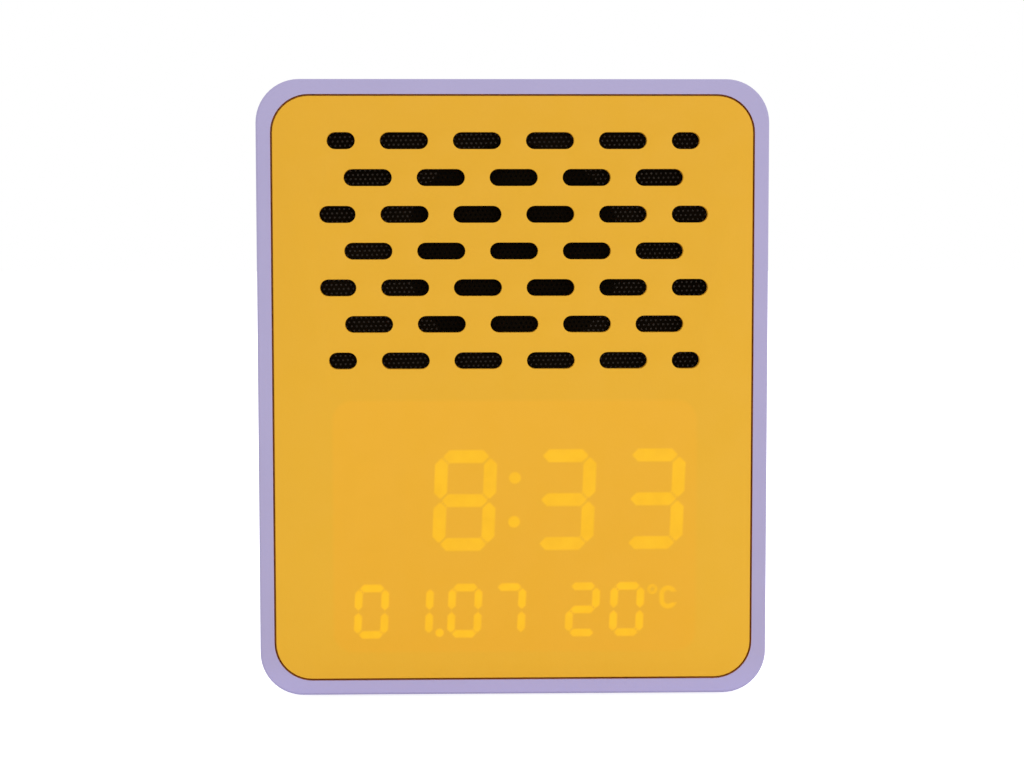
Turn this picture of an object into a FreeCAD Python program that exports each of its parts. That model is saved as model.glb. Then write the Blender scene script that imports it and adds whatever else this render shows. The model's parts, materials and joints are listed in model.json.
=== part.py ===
import FreeCAD, Part
import math
import os

# A free-standing talking clock: a moulded case around a flush slotted front plate.
# Sizes are in millimetres. The front faces -Y, +X is to the right as seen from the front, +Z is up.
# The origin lies on the standing surface, under the middle of the whole clock.
# A depth is counted backwards from the front face of the case, a level upwards from the standing surface.

Vector = FreeCAD.Vector

# Case
case_width = 100.0
case_depth = 44.0
case_corner = 8.45
rim_side = 2.8
rim_end = 2.9
recess_corner = 7.48
front_edge_cut = 0.4
rear_edge_cut = 0.9
bulkhead_thickness = 2.0
pillar_size = 6.4
pillar_inset = 5.0
core_radius = 1.05
web_thickness = 1.2
wall_rib_height = 1.4
wall_rib_shares = (-0.24, 0.02, 0.28)

# Front plate and its slots
plate_thickness = 2.0
plate_gap = 0.36
slot_length = 9.25
slot_height = 3.15
slot_column_pitch = 14.22
slot_row_pitch = 7.15
slot_rows = 7
slots_in_long_row = 6
first_slot_drop = 11.9
corner_slot_length = 5.35
outer_slot_length = 6.95
window_width = 71.6
window_height = 49.9
window_corner = 4.0
window_hook_margin = 2.6
window_foot = 8.5
window_skin = 0.6

# Speaker mesh
mesh_thickness = 0.5
mesh_margin = 2.0
mesh_gap = 0.3

# Display
diffuser_thickness = 0.2
block_gap = 0.3
block_corner_cut = 2.4
display_standoff = 4.0
board_thickness = 1.6
big_height = 20.2
big_width = 12.3
big_stroke = 2.6
big_pitch = 17.7
digit_row_gap = 6.3
time_shift = 0.35
hours_offset = 18.65
colon_size = 2.3
colon_rise = 4.33
small_height = 10.9
small_width = 6.6
small_stroke = 1.5
small_pitch = 8.8
small_foot_margin = 2.7
date_shift = -14.25
date_pair_offset = 9.25
point_size = 1.6
temperature_shift = 18.2
degree_size = 2.0
degree_shift = 27.6
degree_rise = 4.15
unit_width = 3.4
unit_height = 4.6
unit_stroke = 0.8
unit_shift = 30.6
unit_rise = 2.55
segment_tip_gap = 0.25
dot_side_count = 8
digit_slant = math.radians(2.25)
segment_place_shares = {
    "top": (0, 1),
    "upper_right": (1, 0.5),
    "lower_right": (1, -0.5),
    "bottom": (0, -1),
    "lower_left": (-1, -0.5),
    "upper_left": (-1, 0.5),
    "middle": (0, 0),
}
board_lap = 2.2
hook_height = 8.0
hook_gauge = 1.5
hook_toe = 1.2
hook_gap = 0.15

# Speaker
speaker_opening = 42.0
speaker_diameter = 50.0
frame_gauge = 1.0
frame_depth = 5.5
frame_window_width = 9.0
frame_window_reach = 15.0
frame_window_height = 5.0
diaphragm_gauge = 0.3
diaphragm_setback = 0.6
diaphragm_gap = 0.3
pot_radius = 13.0
pot_depth = 8.0
terminal_width = 12.0
terminal_height = 4.5
terminal_gauge = 1.0

# Screws
screw_radius = 1.0
flat_head_radius = 2.4
screw_grip = 5.0
lug_width = 8.0
lug_spacing = 66.0
lug_gauge = 1.3
lug_length = 3.0
lug_toe = 1.3
lug_gap = 0.3

# Rear cover
cover_thickness = 2.4
cover_gap = 0.3
vent_count = 5
vent_length = 8.0
vent_width = 1.4
vent_pitch = 3.3
vent_drop = 20.5

# Main board on the rear cover
main_width = 76.0
main_head_drop = 12.0
main_tray_gap = 9.07
main_hook_rise = 19.0
chip_height = 1.6
clock_chip_size = 10.0
voice_chip_width = 12.0
voice_chip_height = 7.5
chip_lift = 7.0
chip_offset = 13.0
crystal_height = 2.2
crystal_length = 7.0
capacitor_width = 7.2
capacitor_height = 5.5
capacitor_gauge = 2.5
header_width = 6.4
header_height = 4.4
header_depth = 4.5
parts_inset = 9.0
sensor_size = 2.6
sensor_leg_gauge = 0.45
sensor_leg_pitch = 1.4

# Push buttons on the back
button_names = ("mode", "set", "plus", "minus")
button_width = 7.6
button_height = 5.6
button_rise = 0.8
button_flange_margin = 1.0
button_flange_thickness = 0.8
button_play = 0.1
button_guide_gap = 0.3
button_travel = 0.5
button_drop = 38.0
button_edge_cut = 0.4
switch_size = 6.0
switch_height = 3.0
switch_margin = 0.2
plunger_size = 2.6
plunger_gap = 0.1
plunger_sink = 1.6

# Volume switch and power socket
lower_row_drop = 56.0
volume_travel = 2.0
volume_body_length = 11.0
volume_body_height = 5.0
volume_cover_gap = 1.0
volume_stem_length = 2.2
volume_stem_height = 2.0
volume_stem_sink = 2.0
volume_cap_length = 4.6
volume_cap_height = 3.0
volume_cap_rise = 0.6
volume_gap = 0.3
volume_shift = -21.33
socket_shift = 21.33
socket_width = 9.0
socket_height = 3.3
socket_wall = 0.3
socket_setback = 0.4
socket_gap = 0.3
socket_floor = 1.5
tongue_width = 6.7
tongue_thickness = 0.7
tongue_setback = 0.5
tongue_foot_gap = 0.15

# Talk button on the top
talk_length = 36.0
talk_width = 12.0
talk_rise = 0.8
talk_flange_margin = 1.2
talk_flange_thickness = 1.0
talk_travel = 0.6
talk_edge_cut = 0.4
talk_switch_height = 3.4
talk_board_width = 14.0
talk_board_length = 41.0
talk_rail_gauge = 1.4
talk_rail_lip = 1.6
talk_rail_gap = 0.2

# Batteries, their tray and its door
cell_count = 3
cell_radius = 5.25
cell_length = 44.5
cell_nub_radius = 1.9
cell_nub_height = 0.9
cell_spacing = 0.8
cell_gap = 0.3
contact_space = 3.0
contact_gauge = 0.4
contact_finger_width = 5.0
contact_reach = 4.2
contact_gap = 0.15
tray_wall = 1.2
cradle_height = 1.6
door_thickness = 1.4
door_gap = 0.25
door_lap = 1.6
door_margin = 2.6
door_corner = 2.0
door_hook_width = 6.0
door_hook_spacing = 32.0
door_hook_gauge = 1.0
door_hook_toe = 1.3
door_hook_inset = 0.3
door_hook_gap = 0.2
latch_width = 11.0
latch_length = 7.0
latch_slit = 0.8
latch_nose_depth = 1.8
latch_nose_gauge = 1.2
finger_notch_radius = 6.0
grip_rib_count = 4
grip_rib_pitch = 1.8
grip_rib_height = 0.4
grip_rib_gauge = 0.7

# Feet
foot_stand = 0.8
foot_length = 64.0
foot_width = 7.0
foot_inset = 9.0

# Wires and ribbon inside
lead_width = 2.4
lead_gauge = 1.1
battery_lead_shift = 19.0
battery_lead_reach = 5.5
ribbon_width = 12.0
ribbon_gauge = 0.3
ribbon_run = 6.5
ribbon_head_drop = 7.95
arc_share = 0.45

# Cutting helpers
overrun = 1.0
join_limit = 0.0001

# Derived places
speaker_drop = first_slot_drop + (slot_rows - 1) / 2 * slot_row_pitch
window_drop = speaker_drop + speaker_diameter / 2 + hook_gap + hook_gauge + window_hook_margin
case_height = window_drop + window_height + window_foot
overall_depth = case_depth + button_rise
front_y = -overall_depth / 2
base_level = foot_stand
top_level = base_level + case_height
middle_level = base_level + case_height / 2
bulkhead_front = plate_thickness
bulkhead_back = bulkhead_front + bulkhead_thickness
cavity_width = case_width - 2 * rim_side
cavity_height = case_height - 2 * rim_end
cavity_corner = case_corner - rim_side
cover_front = case_depth - cover_thickness
pillar_x = cavity_width / 2 - pillar_inset
pillar_level = middle_level + cavity_height / 2 - pillar_inset
cavity_foot = middle_level - cavity_height / 2
lug_front = cover_front - lug_length
first_slot_level = top_level - first_slot_drop
speaker_level = top_level - speaker_drop
window_level = top_level - window_drop - window_height / 2
small_level = window_level - window_height / 2 + small_foot_margin + small_height / 2
big_level = small_level + small_height / 2 + digit_row_gap + big_height / 2
mesh_reach = (slots_in_long_row - 1) / 2 * slot_column_pitch - slot_length / 2 + outer_slot_length
mesh_width = 2 * (mesh_reach + mesh_margin)
mesh_height = (slot_rows - 1) * slot_row_pitch + slot_height + 2 * mesh_margin
block_front = window_skin + diffuser_thickness
block_back = bulkhead_back + display_standoff
block_width = window_width - 2 * block_gap
block_height = window_height - 2 * block_gap
display_back = block_back + board_thickness
display_board_width = block_width + 2 * board_lap
frame_back = bulkhead_back + frame_depth
pot_back = frame_back + pot_depth
terminal_level = speaker_level - speaker_diameter / 2 + hook_toe + frame_gauge + terminal_height / 2
button_level = top_level - button_drop
lower_row_level = top_level - lower_row_drop
vent_level = top_level - vent_drop
button_flange_back = cover_front - button_play
button_flange_front = button_flange_back - button_flange_thickness
switch_back = button_flange_front - button_travel - switch_margin
main_back = switch_back - switch_height
main_front = main_back - board_thickness
volume_body_back = cover_front - volume_cover_gap
header_front = main_front - header_depth
talk_depth = case_depth / 2
talk_flange_top = top_level - rim_end - button_play
talk_flange_bottom = talk_flange_top - talk_flange_thickness
talk_switch_top = talk_flange_bottom - talk_travel - switch_margin
talk_board_top = talk_switch_top - talk_switch_height
talk_board_bottom = talk_board_top - board_thickness
cell_pitch = 2 * cell_radius + cell_spacing
door_front = case_depth - door_thickness
door_hook_front = cover_front - door_hook_gap - door_hook_gauge
door_hook_swing = math.hypot(door_hook_inset + door_hook_gauge, case_depth - door_hook_front)
door_foot_lap = door_hook_swing + door_hook_gap + tray_wall
tray_width = cell_length + 2 * contact_space
tray_height = (cell_count - 1) * cell_pitch + 2 * (cell_radius + cell_gap)
door_width = tray_width + 2 * door_lap
door_height = tray_height + door_lap + door_foot_lap
door_foot_level = base_level + rim_end + cover_gap + door_margin
door_level = door_foot_level + door_height / 2
tray_level = door_foot_level + door_foot_lap + tray_height / 2
main_foot = tray_level + tray_height / 2 + tray_wall + main_tray_gap
main_height = top_level - main_head_drop - main_foot
main_level = main_foot + main_height / 2
parts_x = main_width / 2 - parts_inset
parts_rise = main_height / 2 - parts_inset
cell_depth = door_front - cell_gap - cell_radius
tray_floor_back = cell_depth - cell_radius - cell_gap
tray_floor_front = tray_floor_back - tray_wall


def point(x, depth, level):
    """Point at a depth behind the front face and a level above the standing surface."""
    return Vector(x, front_y + depth, level)


def rounded_face(width, height, radius, x, depth, level):
    """Rounded rectangle that faces the front."""
    reach = width / 2 - radius
    rise = height / 2 - radius
    corners = ((reach, rise), (-reach, rise), (-reach, -rise), (reach, -rise))
    arcs = []
    for turn, (corner_x, corner_rise) in enumerate(corners):
        angles = [(turn + step / 2) * math.pi / 2 for step in range(3)]
        arcs.append([
            point(x + corner_x + radius * math.cos(angle), depth,
                  level + corner_rise + radius * math.sin(angle))
            for angle in angles
        ])
    edges = []
    for index, stops in enumerate(arcs):
        following = arcs[(index + 1) % len(arcs)][0]
        edges.append(Part.Arc(*stops).toShape())
        if stops[-1].distanceToPoint(following) > join_limit:
            edges.append(Part.LineSegment(stops[-1], following).toShape())
    return Part.Face(Part.Wire(edges))


def slab(width, height, radius, x, depth, level, thickness):
    """Plate with rounded corners, from a depth backwards."""
    return rounded_face(width, height, radius, x, depth, level).extrude(Vector(0, thickness, 0))


def stadium(length, height, x, depth, level, thickness):
    """Round-ended bar that faces the front, from a depth backwards."""
    reach = (length - height) / 2
    radius = height / 2
    upper_left = point(x - reach, depth, level + radius)
    upper_right = point(x + reach, depth, level + radius)
    lower_right = point(x + reach, depth, level - radius)
    lower_left = point(x - reach, depth, level - radius)
    edges = [
        Part.LineSegment(upper_left, upper_right).toShape(),
        Part.Arc(upper_right, point(x + length / 2, depth, level), lower_right).toShape(),
        Part.LineSegment(lower_right, lower_left).toShape(),
        Part.Arc(lower_left, point(x - length / 2, depth, level), upper_left).toShape(),
    ]
    return Part.Face(Part.Wire(edges)).extrude(Vector(0, thickness, 0))


def block(width, thickness, height, x, depth, level):
    """Square-edged block, centred in x and level, from a depth backwards."""
    return Part.makeBox(width, thickness, height, point(x - width / 2, depth, level - height / 2))


def rod(radius, x, depth, level, length):
    """Cylinder along the depth."""
    return Part.makeCylinder(radius, length, point(x, depth, level), Vector(0, 1, 0))


def prism(outline, depth, thickness):
    """Polygon of (x, level) points, from a depth backwards."""
    corners = [point(x, depth, level) for x, level in outline]
    return Part.Face(Part.makePolygon(corners + corners[:1])).extrude(Vector(0, thickness, 0))


def joined(shapes):
    """One solid from overlapping or touching shapes."""
    return shapes[0].fuse(shapes[1:]).removeSplitter()


def end_edges(solid, side):
    """Edges around the front end (side -1) or the rear end (side 1) of a solid."""
    face = max(solid.Faces, key=lambda one: side * one.CenterOfMass.y)
    return face.Edges


def slot_places():
    """Each slot as (x, level, length). Long rows have shortened outer slots."""
    places = []
    for row in range(slot_rows):
        level = first_slot_level - row * slot_row_pitch
        long_row = row % 2 == 0
        count = slots_in_long_row if long_row else slots_in_long_row - 1
        outer_length = corner_slot_length if row in (0, slot_rows - 1) else outer_slot_length
        for column in range(count):
            x = (column - (count - 1) / 2) * slot_column_pitch
            length = slot_length
            if long_row and column in (0, count - 1):
                side = math.copysign(1, x)
                length = outer_length
                x = x - side * (slot_length - length) / 2
            places.append((x, level, length))
    return places


def segment_outlines(width, height, stroke, x, level):
    """The seven segments of one slanted digit, as polygons of (x, level).

    Only large ones have pointed ends.
    """
    outlines = []
    for share_x, share_rise in segment_place_shares.values():
        centre_x = share_x * (width - stroke) / 2
        centre_rise = share_rise * (height - stroke) / 2
        upright = share_x != 0
        span = (height - stroke) / 2 if upright else width - stroke
        tip = span / 2 - segment_tip_gap
        shoulder = tip - stroke / 2
        half = stroke / 2
        along = [(-tip, 0), (-shoulder, half), (shoulder, half),
                 (tip, 0), (shoulder, -half), (-shoulder, -half)]
        if height < big_height:
            along = [(-shoulder, half), (shoulder, half), (shoulder, -half), (-shoulder, -half)]
        outline = []
        for run, across in along:
            offset_x, offset_rise = (across, run) if upright else (run, across)
            rise = centre_rise + offset_rise
            outline.append((x + centre_x + offset_x + rise * math.tan(digit_slant), level + rise))
        outlines.append(outline)
    return outlines


def digit_places():
    """Each digit as (width, height, stroke, x, level)."""
    places = []
    for pair in (-1, 1):
        for place in (-1, 1):
            big_x = time_shift + pair * hours_offset + place * big_pitch / 2
            places.append((big_width, big_height, big_stroke, big_x, big_level))
            date_x = date_shift + pair * date_pair_offset + place * small_pitch / 2
            places.append((small_width, small_height, small_stroke, date_x, small_level))
    for place in (-1, 1):
        temperature_x = temperature_shift + place * small_pitch / 2
        places.append((small_width, small_height, small_stroke, temperature_x, small_level))
    return places


def dot_places():
    """Round lights as (radius, x, level): the colon, the date's point and the degree mark."""
    lean = math.tan(digit_slant)
    point_rise = (point_size - small_height) / 2
    return [
        (colon_size / 2, time_shift + colon_rise * lean, big_level + colon_rise),
        (colon_size / 2, time_shift - colon_rise * lean, big_level - colon_rise),
        (point_size / 2, date_shift + point_rise * lean, small_level + point_rise),
        (degree_size / 2, degree_shift, small_level + degree_rise),
    ]


def unit_outline():
    """The open square letter after the degree mark, as a polygon of (x, level)."""
    left = unit_shift - unit_width / 2
    right = unit_shift + unit_width / 2
    level = small_level + unit_rise
    high = level + unit_height / 2
    low = level - unit_height / 2
    return [
        (left, low), (right, low), (right, low + unit_stroke), (left + unit_stroke, low + unit_stroke),
        (left + unit_stroke, high - unit_stroke), (right, high - unit_stroke), (right, high), (left, high),
    ]


def case_shell():
    """Moulded case: walls, front bulkhead, pillars, bosses and ribs."""
    body = slab(case_width, case_height, case_corner, 0, 0, middle_level, case_depth)
    body = body.makeChamfer(front_edge_cut, end_edges(body, -1))
    body = body.makeChamfer(rear_edge_cut, end_edges(body, 1))
    recess_depth = plate_thickness + overrun
    recess = slab(cavity_width, cavity_height, recess_corner, 0, -overrun, middle_level, recess_depth)
    cavity = slab(cavity_width, cavity_height, cavity_corner, 0, bulkhead_back, middle_level, case_depth)
    body = body.cut([recess, cavity])
    additions = []
    pillar_length = cover_front - bulkhead_back
    web_length = pillar_length / 2
    for x in (-pillar_x, pillar_x):
        side = math.copysign(1, x)
        additions.append(block(pillar_size, pillar_length, pillar_size, x, bulkhead_back, pillar_level))
        additions.append(block(
            pillar_inset, web_length, web_thickness,
            x + side * pillar_inset / 2, bulkhead_back, pillar_level))
        additions.append(block(
            web_thickness, web_length, pillar_inset, x, bulkhead_back, pillar_level + pillar_inset / 2))
    for share in wall_rib_shares:
        for side in (-1, 1):
            rib_x = side * (cavity_width - wall_rib_height) / 2
            rib_level = middle_level + share * case_height
            additions.append(block(
                wall_rib_height, pillar_length, web_thickness, rib_x, bulkhead_back, rib_level))
    additions.extend(speaker_hooks())
    additions.extend(edge_hooks(display_board_width / 2, bulkhead_back, display_back, window_level))
    additions.extend(edge_steps(display_board_width / 2, bulkhead_back, block_back, window_level))
    additions.extend(talk_rails())
    body = body.fuse(additions)
    openings = [
        slab(window_width, window_height, window_corner, 0, 0, window_level, bulkhead_back + overrun),
        rod(speaker_opening / 2, 0, 0, speaker_level, bulkhead_back + overrun),
        block(mesh_width + 2 * mesh_gap, bulkhead_front + mesh_thickness, mesh_height + 2 * mesh_gap,
              0, 0, speaker_level),
    ]
    core_depth = screw_grip + overrun
    for x in (-pillar_x, pillar_x):
        openings.append(rod(core_radius, x, cover_front - core_depth, pillar_level, core_depth))
    talk_hole_gap = 2 * button_guide_gap
    openings.append(flat_stadium(
        talk_length + talk_hole_gap, talk_width + talk_hole_gap,
        top_level - rim_end - overrun, rim_end + 2 * overrun))
    for side in (-1, 1):
        openings.append(block(
            lug_width + 2 * lug_gap, lug_gauge + 2 * lug_gap, lug_toe,
            side * lug_spacing / 2, lug_front - lug_gap, cavity_foot - lug_toe / 2))
    return body.cut(openings).removeSplitter()


def edge_hooks(reach, root, held, level):
    """A hook at each side of a piece that ends at a reach from the middle.

    The hooks stand on the root's depth and their toes lap over the piece's face at the held depth.
    """
    direction = math.copysign(1, held - root)
    toe_near = held + direction * hook_gap
    toe_far = toe_near + direction * hook_gauge
    shapes = []
    for side in (-1, 1):
        wall_x = side * (reach + hook_gap + hook_gauge / 2)
        toe_x = side * (reach + hook_gap - hook_toe / 2)
        shapes.append(block(hook_gauge, abs(toe_far - root), hook_height, wall_x, min(root, toe_far), level))
        shapes.append(block(hook_toe, hook_gauge, hook_height, toe_x, min(toe_near, toe_far), level))
    return shapes


def edge_steps(reach, root, seat, level):
    """A step at each side under a board's edge, from the root's depth to the board's seat."""
    front = min(root, seat)
    return [block(board_lap, abs(seat - root), hook_height,
                  side * (reach + hook_gap - board_lap / 2), front, level) for side in (-1, 1)]


def speaker_hooks():
    """Four hooks around the speaker's cup."""
    beside = edge_hooks(speaker_diameter / 2, bulkhead_back, frame_back, speaker_level)
    shapes = []
    for shape in beside:
        turned_shape = shape.copy()
        turned_shape.rotate(point(0, 0, speaker_level), Vector(0, 1, 0), 90)
        shapes.extend((shape, turned_shape))
    return shapes


def talk_rails():
    """Two grooved rails under the top wall that the talk board slides into."""
    rails = []
    head = top_level - rim_end
    foot = talk_board_bottom - talk_rail_gap - talk_rail_gauge
    for side in (-1, 1):
        wall_x = side * (talk_board_length / 2 + talk_rail_gap + talk_rail_gauge / 2)
        lip_x = side * (talk_board_length / 2 + talk_rail_gap - talk_rail_lip / 2)
        front = talk_depth - talk_board_width / 2
        rails.append(block(talk_rail_gauge, talk_board_width, head - foot, wall_x, front, (head + foot) / 2))
        for lip_foot in (foot, talk_board_top + talk_rail_gap):
            rails.append(block(talk_rail_lip, talk_board_width, talk_rail_gauge,
                               lip_x, front, lip_foot + talk_rail_gauge / 2))
    return rails


def flat_stadium(length, width, level, height):
    """Round-ended bar that lies flat under the talk button, from a level upwards."""
    upright = stadium(length, width, 0, 0, 0, height)
    upright.rotate(point(0, 0, 0), Vector(1, 0, 0), 90)
    upright.translate(Vector(0, talk_depth, level))
    return upright


def front_plate():
    """Flush front plate: slots for the sound, and a thin skin that the display shines through."""
    width = cavity_width - 2 * plate_gap
    height = cavity_height - 2 * plate_gap
    plate = slab(width, height, recess_corner - plate_gap, 0, 0, middle_level, plate_thickness)
    cuts = [stadium(length, slot_height, x, -overrun, level, plate_thickness + 2 * overrun)
            for x, level, length in slot_places()]
    cuts.append(slab(window_width, window_height, window_corner,
                     0, window_skin, window_level, plate_thickness))
    return plate.cut(cuts)


def speaker_mesh():
    """Perforated sheet behind the slots, seated in a shallow pocket of the bulkhead."""
    return block(mesh_width, mesh_thickness, mesh_height, 0, plate_thickness, speaker_level)


def display_block(depth, thickness):
    """Rectangle with cut corners that fits the display window, from a depth backwards."""
    reach = block_width / 2
    rise = block_height / 2
    outline = []
    for side, end in ((1, 1), (-1, 1), (-1, -1), (1, -1)):
        near_side = (side * reach, window_level + end * (rise - block_corner_cut))
        near_end = (side * (reach - block_corner_cut), window_level + end * rise)
        outline.extend((near_side, near_end) if side == end else (near_end, near_side))
    return prism(outline, depth, thickness)


def display_diffuser():
    """Film between the reflector block and the front plate's thin skin."""
    return display_block(window_skin, diffuser_thickness)


def display_reflector():
    """Reflector block with one light well for each segment and dot."""
    depth = block_back - block_front
    outlines = [unit_outline()]
    for place in digit_places():
        outlines.extend(segment_outlines(*place))
    for radius, x, level in dot_places():
        outlines.append([
            (x + radius * math.cos(angle), level + radius * math.sin(angle))
            for angle in (2 * math.pi * side / dot_side_count for side in range(dot_side_count))])
    wells = [prism(outline, block_front - overrun, depth + 2 * overrun) for outline in outlines]
    return display_block(block_front, depth).cut(wells)


def display_board():
    """Circuit board behind the reflector, wider than it so that the case's hooks can hold it."""
    return block(display_board_width, board_thickness, block_height, 0, block_back, window_level)


def speaker_frame():
    """Shallow steel cup whose rim stands on the bulkhead, with four windows in its back."""
    outer = speaker_diameter / 2
    cup = rod(outer, 0, bulkhead_back, speaker_level, frame_depth)
    hollow_depth = frame_depth - frame_gauge + overrun
    hollow = rod(outer - frame_gauge, 0, bulkhead_back - overrun, speaker_level, hollow_depth)
    windows = []
    for turn in range(4):
        window = block(frame_window_width, frame_depth, frame_window_height,
                       0, bulkhead_back + frame_gauge, speaker_level + frame_window_reach)
        window.rotate(point(0, 0, speaker_level), Vector(0, 1, 0), (turn + 0.5) * 90)
        windows.append(window)
    return cup.cut([hollow] + windows)


def speaker_diaphragm():
    """Film disc a little behind the mouth of the speaker's cup, glued to the voice coil inside."""
    radius = speaker_diameter / 2 - frame_gauge - diaphragm_gap
    return rod(radius, 0, bulkhead_back + diaphragm_setback, speaker_level, diaphragm_gauge)


def speaker_pot():
    """Magnet pot on the back of the cup."""
    return rod(pot_radius, 0, frame_back, speaker_level, pot_depth)


def speaker_terminals():
    """Small solder board on the back of the cup, below the pot, where the speaker's leads end."""
    return block(terminal_width, terminal_gauge, terminal_height, 0, frame_back, terminal_level)


def rear_cover():
    """Rear cover with screw seats, bosses for the main board and the battery tray."""
    width = cavity_width - 2 * cover_gap
    height = cavity_height - 2 * cover_gap
    body = slab(width, height, cavity_corner - cover_gap, 0, cover_front, middle_level, cover_thickness)
    tray_depth = cover_front - tray_floor_front
    tray = block(tray_width + 2 * tray_wall, tray_depth, tray_height + 2 * tray_wall,
                 0, tray_floor_front, tray_level)
    additions = [tray]
    for rise in (-main_hook_rise, main_hook_rise):
        additions.extend(edge_hooks(main_width / 2, cover_front, main_front, main_level + rise))
        additions.extend(edge_steps(main_width / 2, cover_front, main_back, main_level + rise))
    for side in (-1, 1):
        x = side * lug_spacing / 2
        lug_foot = cavity_foot + cover_gap
        additions.append(block(lug_width, lug_length, lug_gauge, x, lug_front, lug_foot + lug_gauge / 2))
        toe_height = lug_toe + lug_gauge
        toe_level = lug_foot + lug_gauge - toe_height / 2
        additions.append(block(lug_width, lug_gauge, toe_height, x, lug_front, toe_level))
    body = body.fuse(additions)
    hollow = block(tray_width, case_depth, tray_height, 0, tray_floor_back, tray_level)
    recess = slab(door_width + 2 * door_gap, door_height + 2 * door_gap, door_corner + door_gap,
                  0, door_front, door_level, door_thickness + overrun)
    cuts = [hollow, recess]
    door_head = door_foot_level + door_height
    cuts.append(rod(finger_notch_radius, 0, door_front, door_head, door_thickness + overrun))
    slot_foot = door_foot_level - door_gap
    slot_head = tray_level - tray_height / 2 - tray_wall
    for side in (-1, 1):
        cuts.append(block(
            door_hook_width + 2 * door_gap, cover_thickness, slot_head - slot_foot,
            side * door_hook_spacing / 2, cover_front, (slot_head + slot_foot) / 2))
    for x in (-pillar_x, pillar_x):
        cuts.append(flat_head(x))
        cuts.append(rod(screw_radius, x, cover_front - overrun, pillar_level, cover_thickness))
    for x in button_places():
        cuts.append(block(
            button_width + 2 * button_guide_gap, cover_thickness + 2 * overrun,
            button_height + 2 * button_guide_gap, x, cover_front - overrun, button_level))
    cuts.append(block(
        volume_cap_length + 2 * (volume_travel + volume_gap), cover_thickness + 2 * overrun,
        volume_cap_height + 2 * volume_gap, volume_shift, cover_front - overrun, lower_row_level))
    cuts.append(stadium(
        socket_width + 2 * socket_gap, socket_height + 2 * socket_gap,
        socket_shift, cover_front - overrun, lower_row_level, cover_thickness + 2 * overrun))
    for index in range(vent_count):
        x = (index - (vent_count - 1) / 2) * vent_pitch
        cuts.append(block(vent_width, cover_thickness + 2 * overrun, vent_length,
                          x, cover_front - overrun, vent_level))
    body = body.cut(cuts)
    return body.fuse(tray_cradles()).removeSplitter()


def tray_cradles():
    """Low ribs between the cells on the tray's floor, sunk into the floor and end walls."""
    ribs = []
    for index in range(cell_count - 1):
        level = tray_level + (index - (cell_count - 2) / 2) * cell_pitch
        ribs.append(block(tray_width / 2, cradle_height + tray_wall, web_thickness,
                          0, tray_floor_front, level))
    return ribs


def flat_head(x):
    """Countersunk head of a cover screw, flush with the rear face."""
    height = flat_head_radius - screw_radius
    return Part.makeCone(
        screw_radius, flat_head_radius, height, point(x, case_depth - height, pillar_level), Vector(0, 1, 0))


def cover_screws():
    """Two countersunk screws through the rear cover's head into the pillars."""
    screws = []
    shank_length = screw_grip + cover_thickness - (flat_head_radius - screw_radius)
    for x in (-pillar_x, pillar_x):
        shank = rod(screw_radius, x, cover_front - screw_grip, pillar_level, shank_length)
        screws.append(flat_head(x).fuse(shank).removeSplitter())
    return Part.makeCompound(screws)


def main_board():
    """Main circuit board, held by the rear cover's hooks."""
    return block(main_width, board_thickness, main_height, 0, main_front, main_level)


def clock_chip():
    """Timekeeping and display chip."""
    return block(clock_chip_size, chip_height, clock_chip_size,
                 -chip_offset, main_front - chip_height, main_level + chip_lift)


def voice_chip():
    """Speech chip with the recorded phrases."""
    return block(voice_chip_width, chip_height, voice_chip_height,
                 chip_offset, main_front - chip_height, main_level + chip_lift)


def crystal_can():
    """Timekeeping crystal in its flat can, on the board below the clock chip."""
    level = main_level + chip_lift - clock_chip_size / 2 - 2 * crystal_height
    return block(crystal_length, crystal_height, crystal_height,
                 -chip_offset, main_front - crystal_height, level)


def filter_capacitor():
    """Flat film capacitor at the corner of the main board."""
    return block(capacitor_width, capacitor_height, capacitor_gauge,
                 -parts_x, main_front - capacitor_height, main_level - parts_rise)


def header_places():
    """Plug-in headers for the speaker, talk and battery leads, as (x, level)."""
    return [(-terminal_width / 4, main_level - parts_rise), (0, main_level + parts_rise),
            (battery_lead_shift, main_level - parts_rise)]


def lead_sockets():
    """Three plug-in headers on the front of the main board."""
    return Part.makeCompound([
        block(header_width, header_depth, header_height, x, header_front, level)
        for x, level in header_places()])


def temperature_sensor():
    """Bead on two legs behind the vent slots."""
    bead_front = cover_front - button_play - sensor_size
    shapes = [block(sensor_size, sensor_size, sensor_size, 0, bead_front, vent_level)]
    for side in (-1, 1):
        shapes.append(block(sensor_leg_gauge, bead_front - main_back, sensor_leg_gauge,
                            side * sensor_leg_pitch / 2, main_back, vent_level))
    return joined(shapes)


def button_places():
    """The four rear buttons, seen from the front, by x. They share the slots' column pitch."""
    count = len(button_names)
    return [((count - 1) / 2 - index) * slot_column_pitch for index in range(count)]


def button_switches():
    """Four push switches on the back of the main board, each with a well for its plunger."""
    bodies = []
    well_size = plunger_size + 2 * plunger_gap
    well_depth = plunger_sink + button_travel + switch_margin
    for x in button_places():
        body = block(switch_size, switch_height, switch_size, x, main_back, button_level)
        well = block(well_size, well_depth + overrun, well_size, x, switch_back - well_depth, button_level)
        bodies.append(body.cut(well))
    return Part.makeCompound(bodies)


def rear_plunger(x):
    """Plunger of one push switch, against the button's flange."""
    front = switch_back - plunger_sink
    return block(plunger_size, button_flange_front - front, plunger_size, x, front, button_level)


def rear_button(x):
    """Rear button with a flange that keeps it behind the cover."""
    length = case_depth + button_rise - button_flange_front
    key = block(button_width, length, button_height, x, button_flange_front, button_level)
    key = key.makeChamfer(button_edge_cut, end_edges(key, 1))
    flange = block(button_width + 2 * button_flange_margin, button_flange_thickness,
                   button_height + 2 * button_flange_margin, x, button_flange_front, button_level)
    return key.fuse(flange).removeSplitter()


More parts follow.
